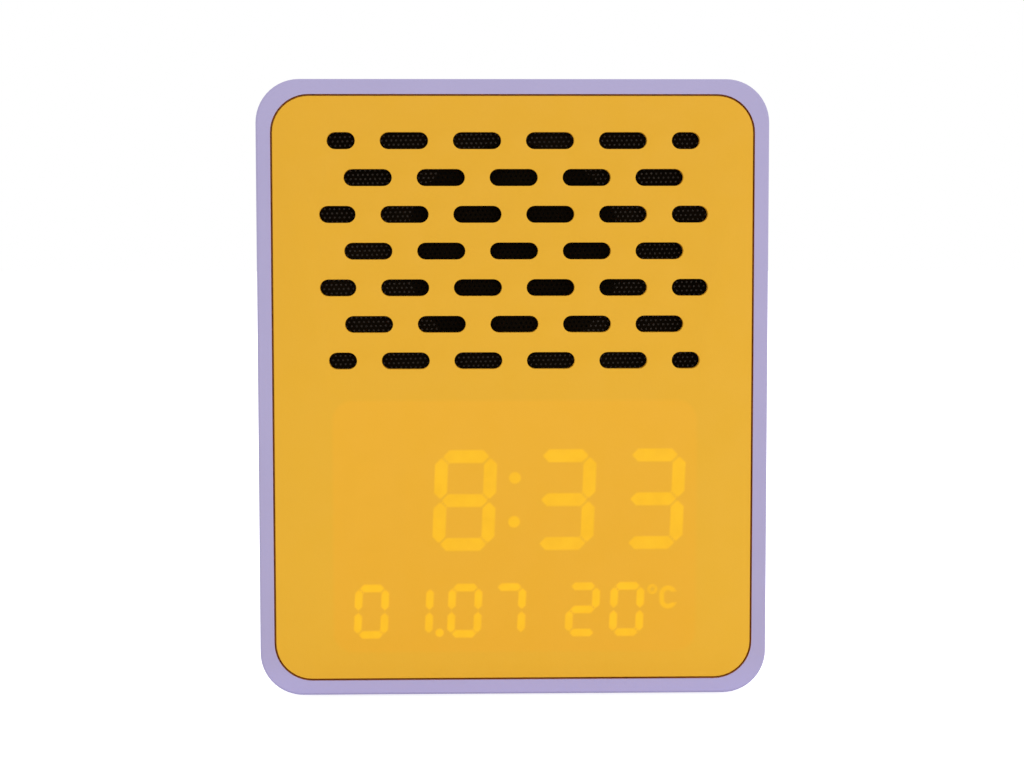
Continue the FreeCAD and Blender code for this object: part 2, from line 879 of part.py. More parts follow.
def volume_switch():
    """Three-place slide switch on the back of the main board."""
    body = block(volume_body_length, volume_body_back - main_back, volume_body_height,
                 volume_shift, main_back, lower_row_level)
    slot_depth = volume_stem_sink + volume_gap
    slot = block(volume_stem_length + 2 * (volume_travel + volume_gap), slot_depth + overrun,
                 volume_stem_height + 2 * volume_gap,
                 volume_shift, volume_body_back - slot_depth, lower_row_level)
    return body.cut(slot)


def volume_knob():
    """Slider of the volume switch, standing a little out of the rear cover."""
    stem_front = volume_body_back - volume_stem_sink
    cap_front = cover_front + volume_gap
    stem = block(volume_stem_length, cap_front - stem_front, volume_stem_height,
                 volume_shift, stem_front, lower_row_level)
    cap = block(volume_cap_length, case_depth + volume_cap_rise - cap_front, volume_cap_height,
                volume_shift, cap_front, lower_row_level)
    return stem.fuse(cap)


def power_socket():
    """Metal shell of the power socket."""
    length = case_depth - socket_setback - main_back
    outer = stadium(socket_width, socket_height, socket_shift, main_back, lower_row_level, length)
    inner = stadium(socket_width - 2 * socket_wall, socket_height - 2 * socket_wall,
                    socket_shift, main_back - overrun, lower_row_level, length + 2 * overrun)
    return outer.cut(inner)


def socket_tongue():
    """Insulating floor of the power socket with its contact tongue."""
    floor = block(tongue_width, socket_floor, socket_height - 2 * (socket_wall + tongue_foot_gap),
                  socket_shift, main_back, lower_row_level)
    tongue_length = case_depth - socket_setback - tongue_setback - main_back
    tongue = block(tongue_width, tongue_length, tongue_thickness, socket_shift, main_back, lower_row_level)
    return floor.fuse(tongue).removeSplitter()


def talk_button():
    """Long press button in the top wall."""
    bar_height = top_level + talk_rise - talk_flange_bottom
    bar = flat_stadium(talk_length, talk_width, talk_flange_bottom, bar_height)
    top_face = max(bar.Faces, key=lambda one: one.CenterOfMass.z)
    bar = bar.makeChamfer(talk_edge_cut, top_face.Edges)
    flange_width = talk_width + 2 * talk_flange_margin
    flange = block(talk_length + 2 * talk_flange_margin, flange_width, talk_flange_thickness,
                   0, talk_depth - flange_width / 2, talk_flange_bottom + talk_flange_thickness / 2)
    return bar.fuse(flange).removeSplitter()


def talk_switch():
    """Push switch under the talk button."""
    body = block(switch_size, switch_size, talk_switch_height, 0, talk_depth - switch_size / 2,
                 talk_board_top + talk_switch_height / 2)
    well_size = plunger_size + 2 * plunger_gap
    well_depth = plunger_sink + talk_travel + switch_margin
    well_level = talk_switch_top + (overrun - well_depth) / 2
    well = block(well_size, well_size, well_depth + overrun, 0, talk_depth - well_size / 2, well_level)
    return body.cut(well)


def talk_plunger():
    """Plunger of the talk switch, against the talk button's flange."""
    foot = talk_switch_top - plunger_sink
    return block(plunger_size, plunger_size, talk_flange_bottom - foot,
                 0, talk_depth - plunger_size / 2, (talk_flange_bottom + foot) / 2)


def talk_board():
    """Small board that slides into the rails under the top wall."""
    return block(talk_board_length, talk_board_width, board_thickness,
                 0, talk_depth - talk_board_width / 2, talk_board_top - board_thickness / 2)


def cell_level(index):
    """Level of one battery's axis, counted from the lowest."""
    return tray_level + (index - (cell_count - 1) / 2) * cell_pitch


def cell_side(index):
    """Side that one battery's raised end points to. Neighbours point opposite ways."""
    return 1 if index % 2 == 0 else -1


def battery(index):
    """One battery cell on its side, turned about its own axis."""
    half = cell_length / 2
    shoulder = half - cell_nub_height
    profile = [
        (-half, 0), (-half, cell_radius), (shoulder, cell_radius),
        (shoulder, cell_nub_radius), (half, cell_nub_radius), (half, 0),
    ]
    level = cell_level(index)
    side = cell_side(index)
    corners = [point(side * along, cell_depth + radius, level) for along, radius in profile]
    face = Part.Face(Part.makePolygon(corners + corners[:1]))
    return face.revolve(point(0, cell_depth, level), Vector(1, 0, 0), 360)


def contact_plate(side, first, last):
    """Sheet contact at one end of the tray, with a bowed spring for each cell."""
    wall_x = side * tray_width / 2
    sheet_x = wall_x - side * contact_gauge
    crown_x = side * (cell_length / 2 + contact_gap)
    front = cell_depth - contact_reach
    back = cell_depth + contact_reach
    low = cell_level(first) - contact_finger_width / 2
    high = cell_level(last) + contact_finger_width / 2
    shapes = [block(contact_gauge, back - front, high - low, wall_x - side * contact_gauge / 2,
                    front, (low + high) / 2)]
    inner = [(sheet_x, front), (crown_x, cell_depth - contact_reach / 3),
             (crown_x, cell_depth + contact_reach / 3), (sheet_x, back)]
    outer = [(x + side * contact_gauge, depth) for x, depth in reversed(inner)]
    for index in range(first, last + 1):
        foot = cell_level(index) - contact_finger_width / 2
        corners = [point(x, depth, foot) for x, depth in inner + outer]
        finger = Part.Face(Part.makePolygon(corners + corners[:1]))
        shapes.append(finger.extrude(Vector(0, 0, contact_finger_width)))
    return joined(shapes)


def contacts(side):
    """Contacts at one end of the tray: a single plate and a bridging plate."""
    if side > 0:
        groups = [(0, 0), (1, cell_count - 1)]
    else:
        groups = [(0, cell_count - 2), (cell_count - 1, cell_count - 1)]
    return Part.makeCompound([contact_plate(side, first, last) for first, last in groups])


def battery_door():
    """Door that hooks in at its foot and snaps shut at its head."""
    door = slab(door_width, door_height, door_corner, 0, door_front, door_level, door_thickness)
    head = door_foot_level + door_height
    additions = []
    for side in (-1, 1):
        x = side * door_hook_spacing / 2
        leg_level = door_foot_level + door_hook_inset + door_hook_gauge / 2
        additions.append(block(
            door_hook_width, door_front - door_hook_front, door_hook_gauge, x, door_hook_front, leg_level))
        toe_height = door_hook_toe + door_hook_inset + door_hook_gauge
        toe_level = door_foot_level - door_hook_toe + toe_height / 2
        additions.append(block(door_hook_width, door_hook_gauge, toe_height, x, door_hook_front, toe_level))
    nose_level = tray_level + tray_height / 2 - door_hook_gap - latch_nose_gauge / 2
    nose_width = latch_width - 2 * latch_slit
    additions.append(block(nose_width, latch_nose_depth, latch_nose_gauge,
                           0, door_front - latch_nose_depth, nose_level))
    for index in range(grip_rib_count):
        level = head - latch_length / 2 + (index - (grip_rib_count - 1) / 2) * grip_rib_pitch
        additions.append(block(nose_width - 2 * latch_slit, door_thickness / 2, grip_rib_gauge,
                               0, case_depth - door_thickness / 2, level))
    slits = []
    for side in (-1, 1):
        x = side * (latch_width - latch_slit) / 2
        slits.append(block(latch_slit, door_thickness + 2 * overrun, latch_length + overrun,
                           x, door_front - overrun, head + (overrun - latch_length) / 2))
    pocket = block(nose_width, grip_rib_height, latch_length - latch_slit,
                   0, case_depth - grip_rib_height, head - (latch_length - latch_slit) / 2)
    return joined([door.cut(slits + [pocket])] + additions)


def rubber_foot(depth):
    """Rubber strip stuck across the underside."""
    return block(foot_length, foot_width, foot_stand, 0, depth - foot_width / 2, foot_stand / 2)


def curved_path(stops):
    """Straight runs through points, joined by tangent arcs as large as the runs allow."""
    edges = []
    start = stops[0]
    for before, corner, after in zip(stops, stops[1:], stops[2:]):
        inward = (corner - before).normalize()
        outward = (after - corner).normalize()
        turn = inward.getAngle(outward)
        reach = arc_share * min(before.distanceToPoint(corner), corner.distanceToPoint(after))
        radius = reach / math.tan(turn / 2)
        arc_start = corner - inward * reach
        arc_end = corner + outward * reach
        towards = (outward - inward).normalize()
        centre = corner + towards * (radius / math.cos(turn / 2))
        edges.append(Part.LineSegment(start, arc_start).toShape())
        edges.append(Part.Arc(arc_start, centre - towards * radius, arc_end).toShape())
        start = arc_end
    edges.append(Part.LineSegment(start, stops[-1]).toShape())
    return Part.Wire(edges)


def flat_lead(stops, width, gauge, across):
    """Flat cable along a curved path, its width along one direction."""
    heading = (stops[1] - stops[0]).normalize()
    half_width = across * (width / 2)
    half_gauge = heading.cross(across) * (gauge / 2)
    corners = [
        stops[0] + half_width + half_gauge,
        stops[0] - half_width + half_gauge,
        stops[0] - half_width - half_gauge,
        stops[0] + half_width - half_gauge,
    ]
    profile = Part.makePolygon(corners + corners[:1])
    return curved_path(stops).makePipeShell([profile], True, False)


def lead_wires():
    """Twin leads of the speaker, the talk board and the batteries, inside the case."""
    (speaker_x, speaker_header_level), (talk_x, talk_header_level), (battery_x, battery_header_level) = (
        header_places())
    talk_lead_depth = talk_depth + talk_board_width / 2 - lead_width
    battery_lead_level = cell_level(cell_count - 1)
    battery_turn = tray_floor_front - battery_lead_reach
    speaker_route = [
        point(speaker_x, header_front, speaker_header_level),
        point(speaker_x, pot_back, speaker_header_level),
        point(speaker_x, pot_back, terminal_level),
        point(speaker_x, frame_back + terminal_gauge, terminal_level),
    ]
    talk_route = [
        point(talk_x, talk_lead_depth, talk_board_bottom),
        point(talk_x, talk_lead_depth, talk_header_level),
        point(talk_x, header_front, talk_header_level),
    ]
    battery_route = [
        point(battery_x, tray_floor_front, battery_lead_level),
        point(battery_x, battery_turn, battery_lead_level),
        point(battery_x, battery_turn, battery_header_level),
        point(battery_x, header_front, battery_header_level),
    ]
    sideways = Vector(1, 0, 0)
    return Part.makeCompound([
        flat_lead(speaker_route, lead_width, lead_gauge, sideways),
        flat_lead(talk_route, lead_width, lead_gauge, sideways),
        flat_lead(battery_route, lead_width, lead_gauge, sideways),
    ])


def display_ribbon():
    """Flat ribbon from the display board to the main board."""
    start_level = window_level + window_height / 2 - ribbon_head_drop
    end_level = main_level - main_height / 2 + ribbon_run
    route = [
        point(0, display_back, start_level),
        point(0, display_back + ribbon_run, start_level),
        point(0, main_front - ribbon_run, end_level),
        point(0, main_front, end_level),
    ]
    return flat_lead(route, ribbon_width, ribbon_gauge, Vector(1, 0, 0))


def pieces():
    """Every piece by name."""
    shapes = {
        "case_shell": case_shell(),
        "front_plate": front_plate(),
        "speaker_mesh": speaker_mesh(),
        "display_diffuser": display_diffuser(),
        "display_reflector": display_reflector(),
        "display_board": display_board(),
        "display_ribbon": display_ribbon(),
        "speaker_frame": speaker_frame(),
        "speaker_diaphragm": speaker_diaphragm(),
        "speaker_pot": speaker_pot(),
        "speaker_terminals": speaker_terminals(),
        "rear_cover": rear_cover(),
        "cover_screws": cover_screws(),
        "main_board": main_board(),
        "clock_chip": clock_chip(),
        "voice_chip": voice_chip(),
        "crystal_can": crystal_can(),
        "filter_capacitor": filter_capacitor(),
        "lead_sockets": lead_sockets(),
        "lead_wires": lead_wires(),
        "temperature_sensor": temperature_sensor(),
        "button_switches": button_switches(),
        "volume_switch": volume_switch(),
        "volume_knob": volume_knob(),
        "power_socket": power_socket(),
        "socket_tongue": socket_tongue(),
        "talk_button": talk_button(),
        "talk_plunger": talk_plunger(),
        "talk_switch": talk_switch(),
        "talk_board": talk_board(),
        "battery_door": battery_door(),
        "contacts_right": contacts(1),
        "contacts_left": contacts(-1),
    }
    for name, x in zip(button_names, button_places()):
        shapes[name + "_button"] = rear_button(x)
        shapes[name + "_plunger"] = rear_plunger(x)
    for index in range(cell_count):
        shapes["battery_" + str(index + 1)] = battery(index)
    shapes["foot_front"] = rubber_foot(foot_inset)
    shapes["foot_rear"] = rubber_foot(case_depth - foot_inset)
    return shapes


os.makedirs("parts", exist_ok=True)
for name, shape in pieces().items():
    shape.exportStep(os.path.join("parts", name + ".step"))
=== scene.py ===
"""Looks of an upright talking clock with a lit face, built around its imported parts."""

import json
import logging
import math
from dataclasses import dataclass, field
from enum import Enum
from functools import partial
from typing import Any, Callable, Iterable, Sequence

import bmesh
import bpy
import numpy as np
from mathutils import Color, Matrix, Vector
from mathutils.geometry import delaunay_2d_cdt

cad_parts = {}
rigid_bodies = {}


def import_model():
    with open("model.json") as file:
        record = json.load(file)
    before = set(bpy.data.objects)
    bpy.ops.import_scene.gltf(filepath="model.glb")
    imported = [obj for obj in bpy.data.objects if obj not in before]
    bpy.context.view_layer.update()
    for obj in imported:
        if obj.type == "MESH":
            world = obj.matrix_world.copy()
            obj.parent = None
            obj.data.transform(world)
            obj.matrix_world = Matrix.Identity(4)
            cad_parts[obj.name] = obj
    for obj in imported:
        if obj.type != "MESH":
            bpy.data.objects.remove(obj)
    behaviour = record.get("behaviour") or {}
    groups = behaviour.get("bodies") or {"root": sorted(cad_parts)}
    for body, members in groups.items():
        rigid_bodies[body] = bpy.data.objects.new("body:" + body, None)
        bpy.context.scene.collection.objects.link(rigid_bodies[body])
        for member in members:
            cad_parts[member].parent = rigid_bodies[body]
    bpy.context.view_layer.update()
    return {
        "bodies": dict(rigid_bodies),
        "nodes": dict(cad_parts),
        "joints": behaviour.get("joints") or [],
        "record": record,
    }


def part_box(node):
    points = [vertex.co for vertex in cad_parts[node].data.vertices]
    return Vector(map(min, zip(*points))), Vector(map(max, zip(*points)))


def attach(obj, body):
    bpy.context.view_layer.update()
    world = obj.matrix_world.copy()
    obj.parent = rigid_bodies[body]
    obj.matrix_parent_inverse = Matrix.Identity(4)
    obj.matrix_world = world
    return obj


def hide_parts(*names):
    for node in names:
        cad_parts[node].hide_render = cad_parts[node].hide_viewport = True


LOG = logging.getLogger("talking_clock")
MM = 0.001
# Level in millimetres from which the drops of the slots, the field and the digits are counted.
TOP_LEVEL = 121.8
# Noise values between which a tone or a roughness goes from one end of its range to the other.
NOISE_SPAN = (0.3, 0.7)
# Points that lie nearer than this, in millimetres, become one: in a shape, and in a flat fill.
MERGE = 1e-4
FILL_MERGE = 1e-5
# Edges that bend by more degrees than this stay crisp.
CREASE = 32.0
# Keeps a share along an edge from being divided by zero.
TINY = 1e-12

Flat = tuple[float, float]
Triple = tuple[float, float, float]
Colour = Triple
Slot = Triple
Loop = list[Flat]
Socket = bpy.types.NodeSocket
Number = float | Socket
Tint = Colour | Socket
Move = Triple | Socket


def paint(red: int, green: int, blue: int) -> Colour:
    """Linear colour of a screen colour given in steps of 0 to 255."""
    return tuple(Color((red / 255, green / 255, blue / 255)).from_srgb_to_scene_linear())


def tinted(colour: Colour, *shares: float) -> Colour:
    """The colour made lighter or darker by one share of itself, or by a share for each channel."""
    each = shares if len(shares) == 3 else shares * 3
    return tuple(min(1.0, channel * (1 + share)) for channel, share in zip(colour, each))


class NodeTree:
    """Adds and joins the nodes of one tree."""

    def __init__(self, tree: bpy.types.NodeTree) -> None:
        """Work on a tree that exists."""
        self.tree = tree

    def add(self, kind: str, inputs: dict[str | int, Any] | None = None, **settings: Any) -> bpy.types.Node:
        """Add one node.

        Args:
            kind: Blender's name of the node type.
            inputs: Values or output sockets, by the input's name or number.
            settings: Properties of the node itself.

        Returns:
            The new node.
        """
        node = self.tree.nodes.new(kind)
        for name, value in settings.items():
            setattr(node, name, value)
        for key, value in (inputs or {}).items():
            self.feed(node.inputs[key], value)
        return node

    def feed(self, socket: Socket, value: Any) -> None:
        """Give a socket a value, a link or several links.

        Args:
            socket: Input socket of a node.
            value: Plain value, output socket, or list of output sockets.
        """
        if isinstance(value, list):
            for part in value:
                self.feed(socket, part)
        elif isinstance(value, bpy.types.NodeSocket):
            self.tree.links.new(value, socket)
        elif socket.type == "RGBA":
            socket.default_value = (*value[:3], 1.0)
        else:
            socket.default_value = value

    def step(self, operation: str, first: Number, second: Number = 0.0) -> Socket:
        """One step of arithmetic."""
        return self.add("ShaderNodeMath", {0: first, 1: second}, operation=operation).outputs["Value"]

    def times(self, value: Number, *factors: Number) -> Socket:
        """Multiply a value by one or more factors.

        Args:
            value: Number or socket to start with.
            factors: Numbers or sockets to multiply by.

        Returns:
            Socket with the product.
        """
        for factor in factors:
            value = self.step("MULTIPLY", value, factor)
        return value

    def seen(self) -> Socket:
        """Tell the rays that show a surface from those that only light the scene.

        Returns:
            Socket with 1 on a ray from the camera, a mirror or a clear piece, and 0 on any other.
        """
        path = self.add("ShaderNodeLightPath")
        direct = self.step("MAXIMUM", path.outputs["Is Camera Ray"], path.outputs["Is Glossy Ray"])
        return self.step("MAXIMUM", direct, path.outputs["Is Transmission Ray"])


# Finishes


class ShaderTree(NodeTree):
    """Adds and joins the nodes of one material."""

    def __init__(self, name: str) -> None:
        """Start a material that holds one shader and its output.

        Args:
            name: Name of the material.
        """
        self.material = bpy.data.materials.new(name)
        self.material.use_nodes = True
        super().__init__(self.material.node_tree)
        self.tree.nodes.clear()
        self.shader = self.add("ShaderNodeBsdfPrincipled")
        self.add("ShaderNodeOutputMaterial", {"Surface": self.shader.outputs["BSDF"]})

    def set(self, **values: Any) -> None:
        """Give inputs of the shader a value or a link, each by its name with _ for a blank."""
        for name, value in values.items():
            self.feed(self.shader.inputs[name.replace("_", " ")], value)

    def place(self) -> Socket:
        """Find the place on the piece.

        Returns:
            Socket with the object coordinates in millimetres.
        """
        where = self.add("ShaderNodeTexCoord").outputs["Object"]
        scaled = self.add("ShaderNodeVectorMath", {0: where, "Scale": 1 / MM}, operation="SCALE")
        return scaled.outputs["Vector"]

    def noise(self, place: Socket, size: float, detail: float = 3.0, stretch: Triple = (1, 1, 1)) -> Socket:
        """Noise whose patches are about the given size.

        Args:
            place: Socket with the place in millimetres.
            size: Size of a patch in millimetres.
            detail: How many finer layers the noise has.
            stretch: Factor for each axis, below 1 for a long grain.

        Returns:
            Socket with a value around one half.
        """
        turned = self.add("ShaderNodeMapping", {"Vector": place, "Scale": stretch}).outputs["Vector"]
        made = self.add("ShaderNodeTexNoise", {"Vector": turned, "Scale": 1 / size, "Detail": detail})
        return made.outputs["Fac"]

    def ramp(self, value: Socket, low: float, high: float, start: float = 0.0, end: float = 1.0) -> Socket:
        """Smooth step of a value from low to high, given out from start to end."""
        inputs = {"Value": value, "From Min": low, "From Max": high, "To Min": start, "To Max": end}
        return self.add("ShaderNodeMapRange", inputs, interpolation_type="SMOOTHSTEP").outputs["Result"]

    def below(self, value: Socket, limit: float, edge: float) -> Socket:
        """1 below a limit and 0 above it, with an edge that fades to either side."""
        return self.ramp(value, limit - edge, limit + edge, 1.0, 0.0)

    def above(self, value: Socket, limit: float, edge: float) -> Socket:
        """1 above a limit and 0 below it, with an edge that fades to either side."""
        return self.ramp(value, limit - edge, limit + edge)

    def mix(self, share: Socket, first: Tint, second: Tint) -> Socket:
        """Blend two colours.

        Args:
            share: Share of the second colour, 0 to 1.
            first: First colour.
            second: Second colour.

        Returns:
            Socket with the blend.
        """
        node = self.add("ShaderNodeMix", data_type="RGBA")
        for key, value in (("Factor", share), ("A", first), ("B", second)):
            self.feed(next(s for s in node.inputs if s.name == key and s.enabled), value)
        return next(s for s in node.outputs if s.enabled)

    def off(self, value: Socket, middle: float = 0.0) -> Socket:
        """How far a value is from a middle, to either side."""
        return self.step("ABSOLUTE", self.step("SUBTRACT", value, middle))

    def along(self, place: Socket) -> tuple[Socket, Socket, Socket]:
        """The three parts of a place."""
        split = self.add("ShaderNodeSeparateXYZ", {0: place})
        return split.outputs["X"], split.outputs["Y"], split.outputs["Z"]

    def attribute(self, name: str) -> Socket:
        """A number kept at the mesh's points."""
        return self.add("ShaderNodeAttribute", attribute_name=name).outputs["Fac"]


@dataclass(frozen=True)
class Finish:
    """Plain moulded or painted surface with a slow change of tone and a fine grain."""

    slot: str
    colour: Colour
    roughness: float = 0.5
    metallic: float = 0.0
    variation: float = 0.03
    cloud_size: float = 22.0
    cloud_detail: float = 2.0
    wear_divisor: float = 3.0
    grain_size: float = 0.35
    grain_depth: float = 0.012
    grain_detail: float = 4.0
    roughness_swing: float = 0.06
    specular: float = 0.4
    coat: float = 0.0
    coat_roughness: float = 0.2
    stretch: Triple = (1.0, 1.0, 1.0)

    def tone(self, tree: ShaderTree, place: Socket) -> Socket:
        """Colour the surface, a little lighter and darker in slow patches.

        Args:
            tree: Tree of the material.
            place: Socket with the place in millimetres.

        Returns:
            Socket with the colour.
        """
        cloud = tree.noise(place, self.cloud_size, self.cloud_detail)
        share = tree.ramp(cloud, *NOISE_SPAN)
        return tree.mix(share, tinted(self.colour, -self.variation), tinted(self.colour, self.variation))

    def light(self, tree: ShaderTree, place: Socket) -> None:
        """Add the surface's own light, where it has any."""

    def relief(self, tree: ShaderTree, place: Socket) -> Socket:
        """Height socket of the fine relief, in millimetres."""
        grain = tree.noise(place, self.grain_size, self.grain_detail, self.stretch)
        return tree.times(grain, self.grain_depth)

    def material(self) -> bpy.types.Material:
        """Build the whole material.

        Returns:
            The material, named after its slot.
        """
        tree = ShaderTree(self.slot)
        place = tree.place()
        worn = tree.noise(place, self.cloud_size / self.wear_divisor, stretch=self.stretch)
        low = self.roughness - self.roughness_swing
        high = self.roughness + self.roughness_swing
        inputs = {"Height": self.relief(tree, place), "Strength": 1.0, "Distance": MM}
        bump = tree.add("ShaderNodeBump", inputs)
        tree.set(
            Base_Color=self.tone(tree, place), Roughness=tree.ramp(worn, *NOISE_SPAN, low, high),
            Metallic=self.metallic, Specular_IOR_Level=self.specular, Coat_Weight=self.coat,
            Coat_Roughness=self.coat_roughness, Normal=bump.outputs["Normal"],
        )
        self.light(tree, place)
        return tree.material


@dataclass(frozen=True)
class LitPlateFinish(Finish):
    """Mustard plate whose thinned field glows where the lights behind it are on."""

    field_colour: Colour = (0.862, 0.445, 0.0243)
    lit_colour: Colour = (0.855, 0.432, 0.013)
    glow: Colour = (0.15, 0.112, 0.0)
    softness: float = 0.3
    field_softness: float = 0.6
    mark_share: float = 0.8
    patch_size: float = 2.6
    patch_detail: float = 1.0
    patch_span: Flat = (0.2, 0.8)
    patch_swing: Flat = (0.82, 1.1)
    small_share: float = 1.22
    small_level: float = 26.0
    small_edge: float = 1.0
    half_width: float = 50.0
    height: float = 122.0
    # Painted light: the plate is lighter to the right and near the ground and darker near the top, as the
    # light falls on it.
    painted_side_light_tint: float = 0.04
    painted_side_light_share: float = 0.4
    painted_top_shade_tint: float = -0.05
    painted_top_shade_share: float = 0.8
    painted_low_light_tints: Triple = (0.035, 0.09, 0.16)
    painted_low_light_share: float = 0.6
    unlit_tint: float = -0.012
    unlit_share: float = 0.5

    def mask(self, tree: ShaderTree, name: str, softness: float) -> Socket:
        """1 inside what a distance attribute measures, 0 outside it."""
        return tree.below(tree.attribute(name), 0.0, softness)

    def lit(self, tree: ShaderTree) -> tuple[Socket, Socket]:
        """Masks of the lit digits and of the marks beside them."""
        return self.mask(tree, "digit", self.softness), self.mask(tree, "mark", self.softness)

    def tone(self, tree: ShaderTree, place: Socket) -> Socket:
        """Colour the plate, warmer in the thin field and a touch darker on unlit digits, with painted light
        to the right and near the ground and painted shade near the top.

        Args:
            tree: Tree of the material.
            place: Socket with the place in millimetres.

        Returns:
            Socket with the colour.
        """
        across, _, level = tree.along(place)
        wide = tree.ramp(across, -self.half_width, self.half_width)
        high = tree.ramp(level, 0.0, self.height)
        low = tree.step("SUBTRACT", 1.0, high)
        unlit = tree.times(self.mask(tree, "unlit", 2 * self.softness), self.unlit_share)
        body = Finish.tone(self, tree, place)
        # Painted light: the side, top and ground tints stand in for how the light falls on the plate.
        for share, colour in (
            (tree.times(wide, self.painted_side_light_share), tinted(self.colour, self.painted_side_light_tint)),
            (tree.times(high, self.painted_top_shade_share), tinted(self.colour, self.painted_top_shade_tint)),
            (tree.times(low, self.painted_low_light_share), tinted(self.colour, *self.painted_low_light_tints)),
            (self.mask(tree, "field", self.field_softness), self.field_colour),
            (tree.step("MAXIMUM", *self.lit(tree)), self.lit_colour),
            (unlit, tinted(self.field_colour, self.unlit_tint)),
        ):
            body = tree.mix(share, body, colour)
        return body

    def light(self, tree: ShaderTree, place: Socket) -> None:
        """Let the lit digits and marks glow, a little stronger in the small row.

        Args:
            tree: Tree of the material.
            place: Socket with the place in millimetres.
        """
        digit, mark = self.lit(tree)
        patches = tree.noise(place, self.patch_size, self.patch_detail)
        uneven = tree.ramp(patches, *self.patch_span, *self.patch_swing)
        amount = tree.step("MAXIMUM", digit, tree.times(mark, self.mark_share))
        start, end = self.small_level - self.small_edge, self.small_level + self.small_edge
        row = tree.ramp(tree.along(place)[2], start, end, self.small_share, 1.0)
        tree.set(Emission_Color=self.glow, Emission_Strength=tree.times(amount, uneven, row))


@dataclass(frozen=True)
class CaseFinish(Finish):
    """Lilac moulding with painted shade in its recess behind the plate, a painted warm reflection of the
    plate in the gap around it, and painted light near the ground.
    """

    # Painted light: the orange-brown gap colour stands in for the plate's warm reflection and the shade in
    # the gap around the plate.
    painted_gap_reflection_colour: Colour = (0.74, 0.335, 0.05)
    # Painted shade: the dark colour in the recess behind the plate and grille stands in for the shade there.
    painted_recess_shade_colour: Colour = (0.058, 0.035, 0.021)
    seam_half: Flat = (47.34, 57.74)
    recess_half: Flat = (45.6, 56.0)
    seam_level: float = 61.3
    seam_depths: Flat = (-22.1, -18.2)
    recess_start: float = -20.3
    seam_edge: float = 0.15
    # Painted light: tints that lift the case near the ground, where less light reaches it.
    painted_low_light_tints: Triple = (0.08, 0.1, 0.18)
    low_level: float = 10.0

    def within(self, tree: ShaderTree, beside: Socket, above: Socket, half: Flat) -> Socket:
        """1 inside an upright rectangle around the plate's middle, 0 outside it."""
        return tree.times(tree.step("LESS_THAN", beside, half[0]), tree.step("LESS_THAN", above, half[1]))

    def tone(self, tree: ShaderTree, place: Socket) -> Socket:
        """Colour the case lilac, with painted light near the ground, a painted warm reflection of the plate
        in the gap around it and painted shade behind the grille.

        Args:
            tree: Tree of the material.
            place: Socket with the place in millimetres.

        Returns:
            Socket with the colour.
        """
        across, depth, level = tree.along(place)
        # Painted light: the case is lighter near the ground.
        foot = tree.ramp(level, 0.0, self.low_level, 1.0, 0.0)
        body = tree.mix(foot, Finish.tone(self, tree, place), tinted(self.colour, *self.painted_low_light_tints))
        beside, above = tree.off(across), tree.off(level, self.seam_level)
        start, end = self.seam_depths
        layer = tree.times(tree.above(depth, start, self.seam_edge), tree.step("LESS_THAN", depth, end))
        # Painted light: the gap around the plate takes an orange-brown for the plate's warm reflection and
        # the shade there.
        seam = tree.times(layer, self.within(tree, beside, above, self.seam_half))
        # Painted shade: the recess behind the plate and grille is coloured dark where it lies in shade.
        deep = tree.step("GREATER_THAN", depth, self.recess_start)
        recess = tree.times(layer, deep, self.within(tree, beside, above, self.recess_half))
        return tree.mix(recess, tree.mix(seam, body, self.painted_gap_reflection_colour), self.painted_recess_shade_colour)


@dataclass(frozen=True)
class BoardFinish(Finish):
    """Solder resist over copper runs, with a speckle of bare pads."""

    run_colour: Colour = (0.02, 0.11, 0.05)
    pad_colour: Colour = (0.45, 0.42, 0.3)
    run_pitch: float = 3.2
    run_spread: float = 0.35
    run_half: float = 0.07
    run_share: float = 0.7
    pad_radius: float = 0.12
    edge: float = 0.02

    def tone(self, tree: ShaderTree, place: Socket) -> Socket:
        """Colour a green field with lighter runs and small pads.

        Args:
            tree: Tree of the material.
            place: Socket with the place in millimetres.

        Returns:
            Socket with the colour.
        """
        across, depth, level = tree.along(place)
        flat = tree.add("ShaderNodeCombineXYZ", {"X": across, "Y": level, "Z": depth}).outputs["Vector"]
        inputs = {"Vector": flat, "Scale": 1 / self.run_pitch, "Randomness": self.run_spread}
        cells = tree.add("ShaderNodeTexVoronoi", inputs, feature="DISTANCE_TO_EDGE").outputs["Distance"]
        dots = tree.add("ShaderNodeTexVoronoi", inputs).outputs["Distance"]
        runs = tree.times(tree.below(cells, self.run_half, self.edge), self.run_share)
        body = tree.mix(runs, Finish.tone(self, tree, place), self.run_colour)
        return tree.mix(tree.below(dots, self.pad_radius, self.edge), body, self.pad_colour)


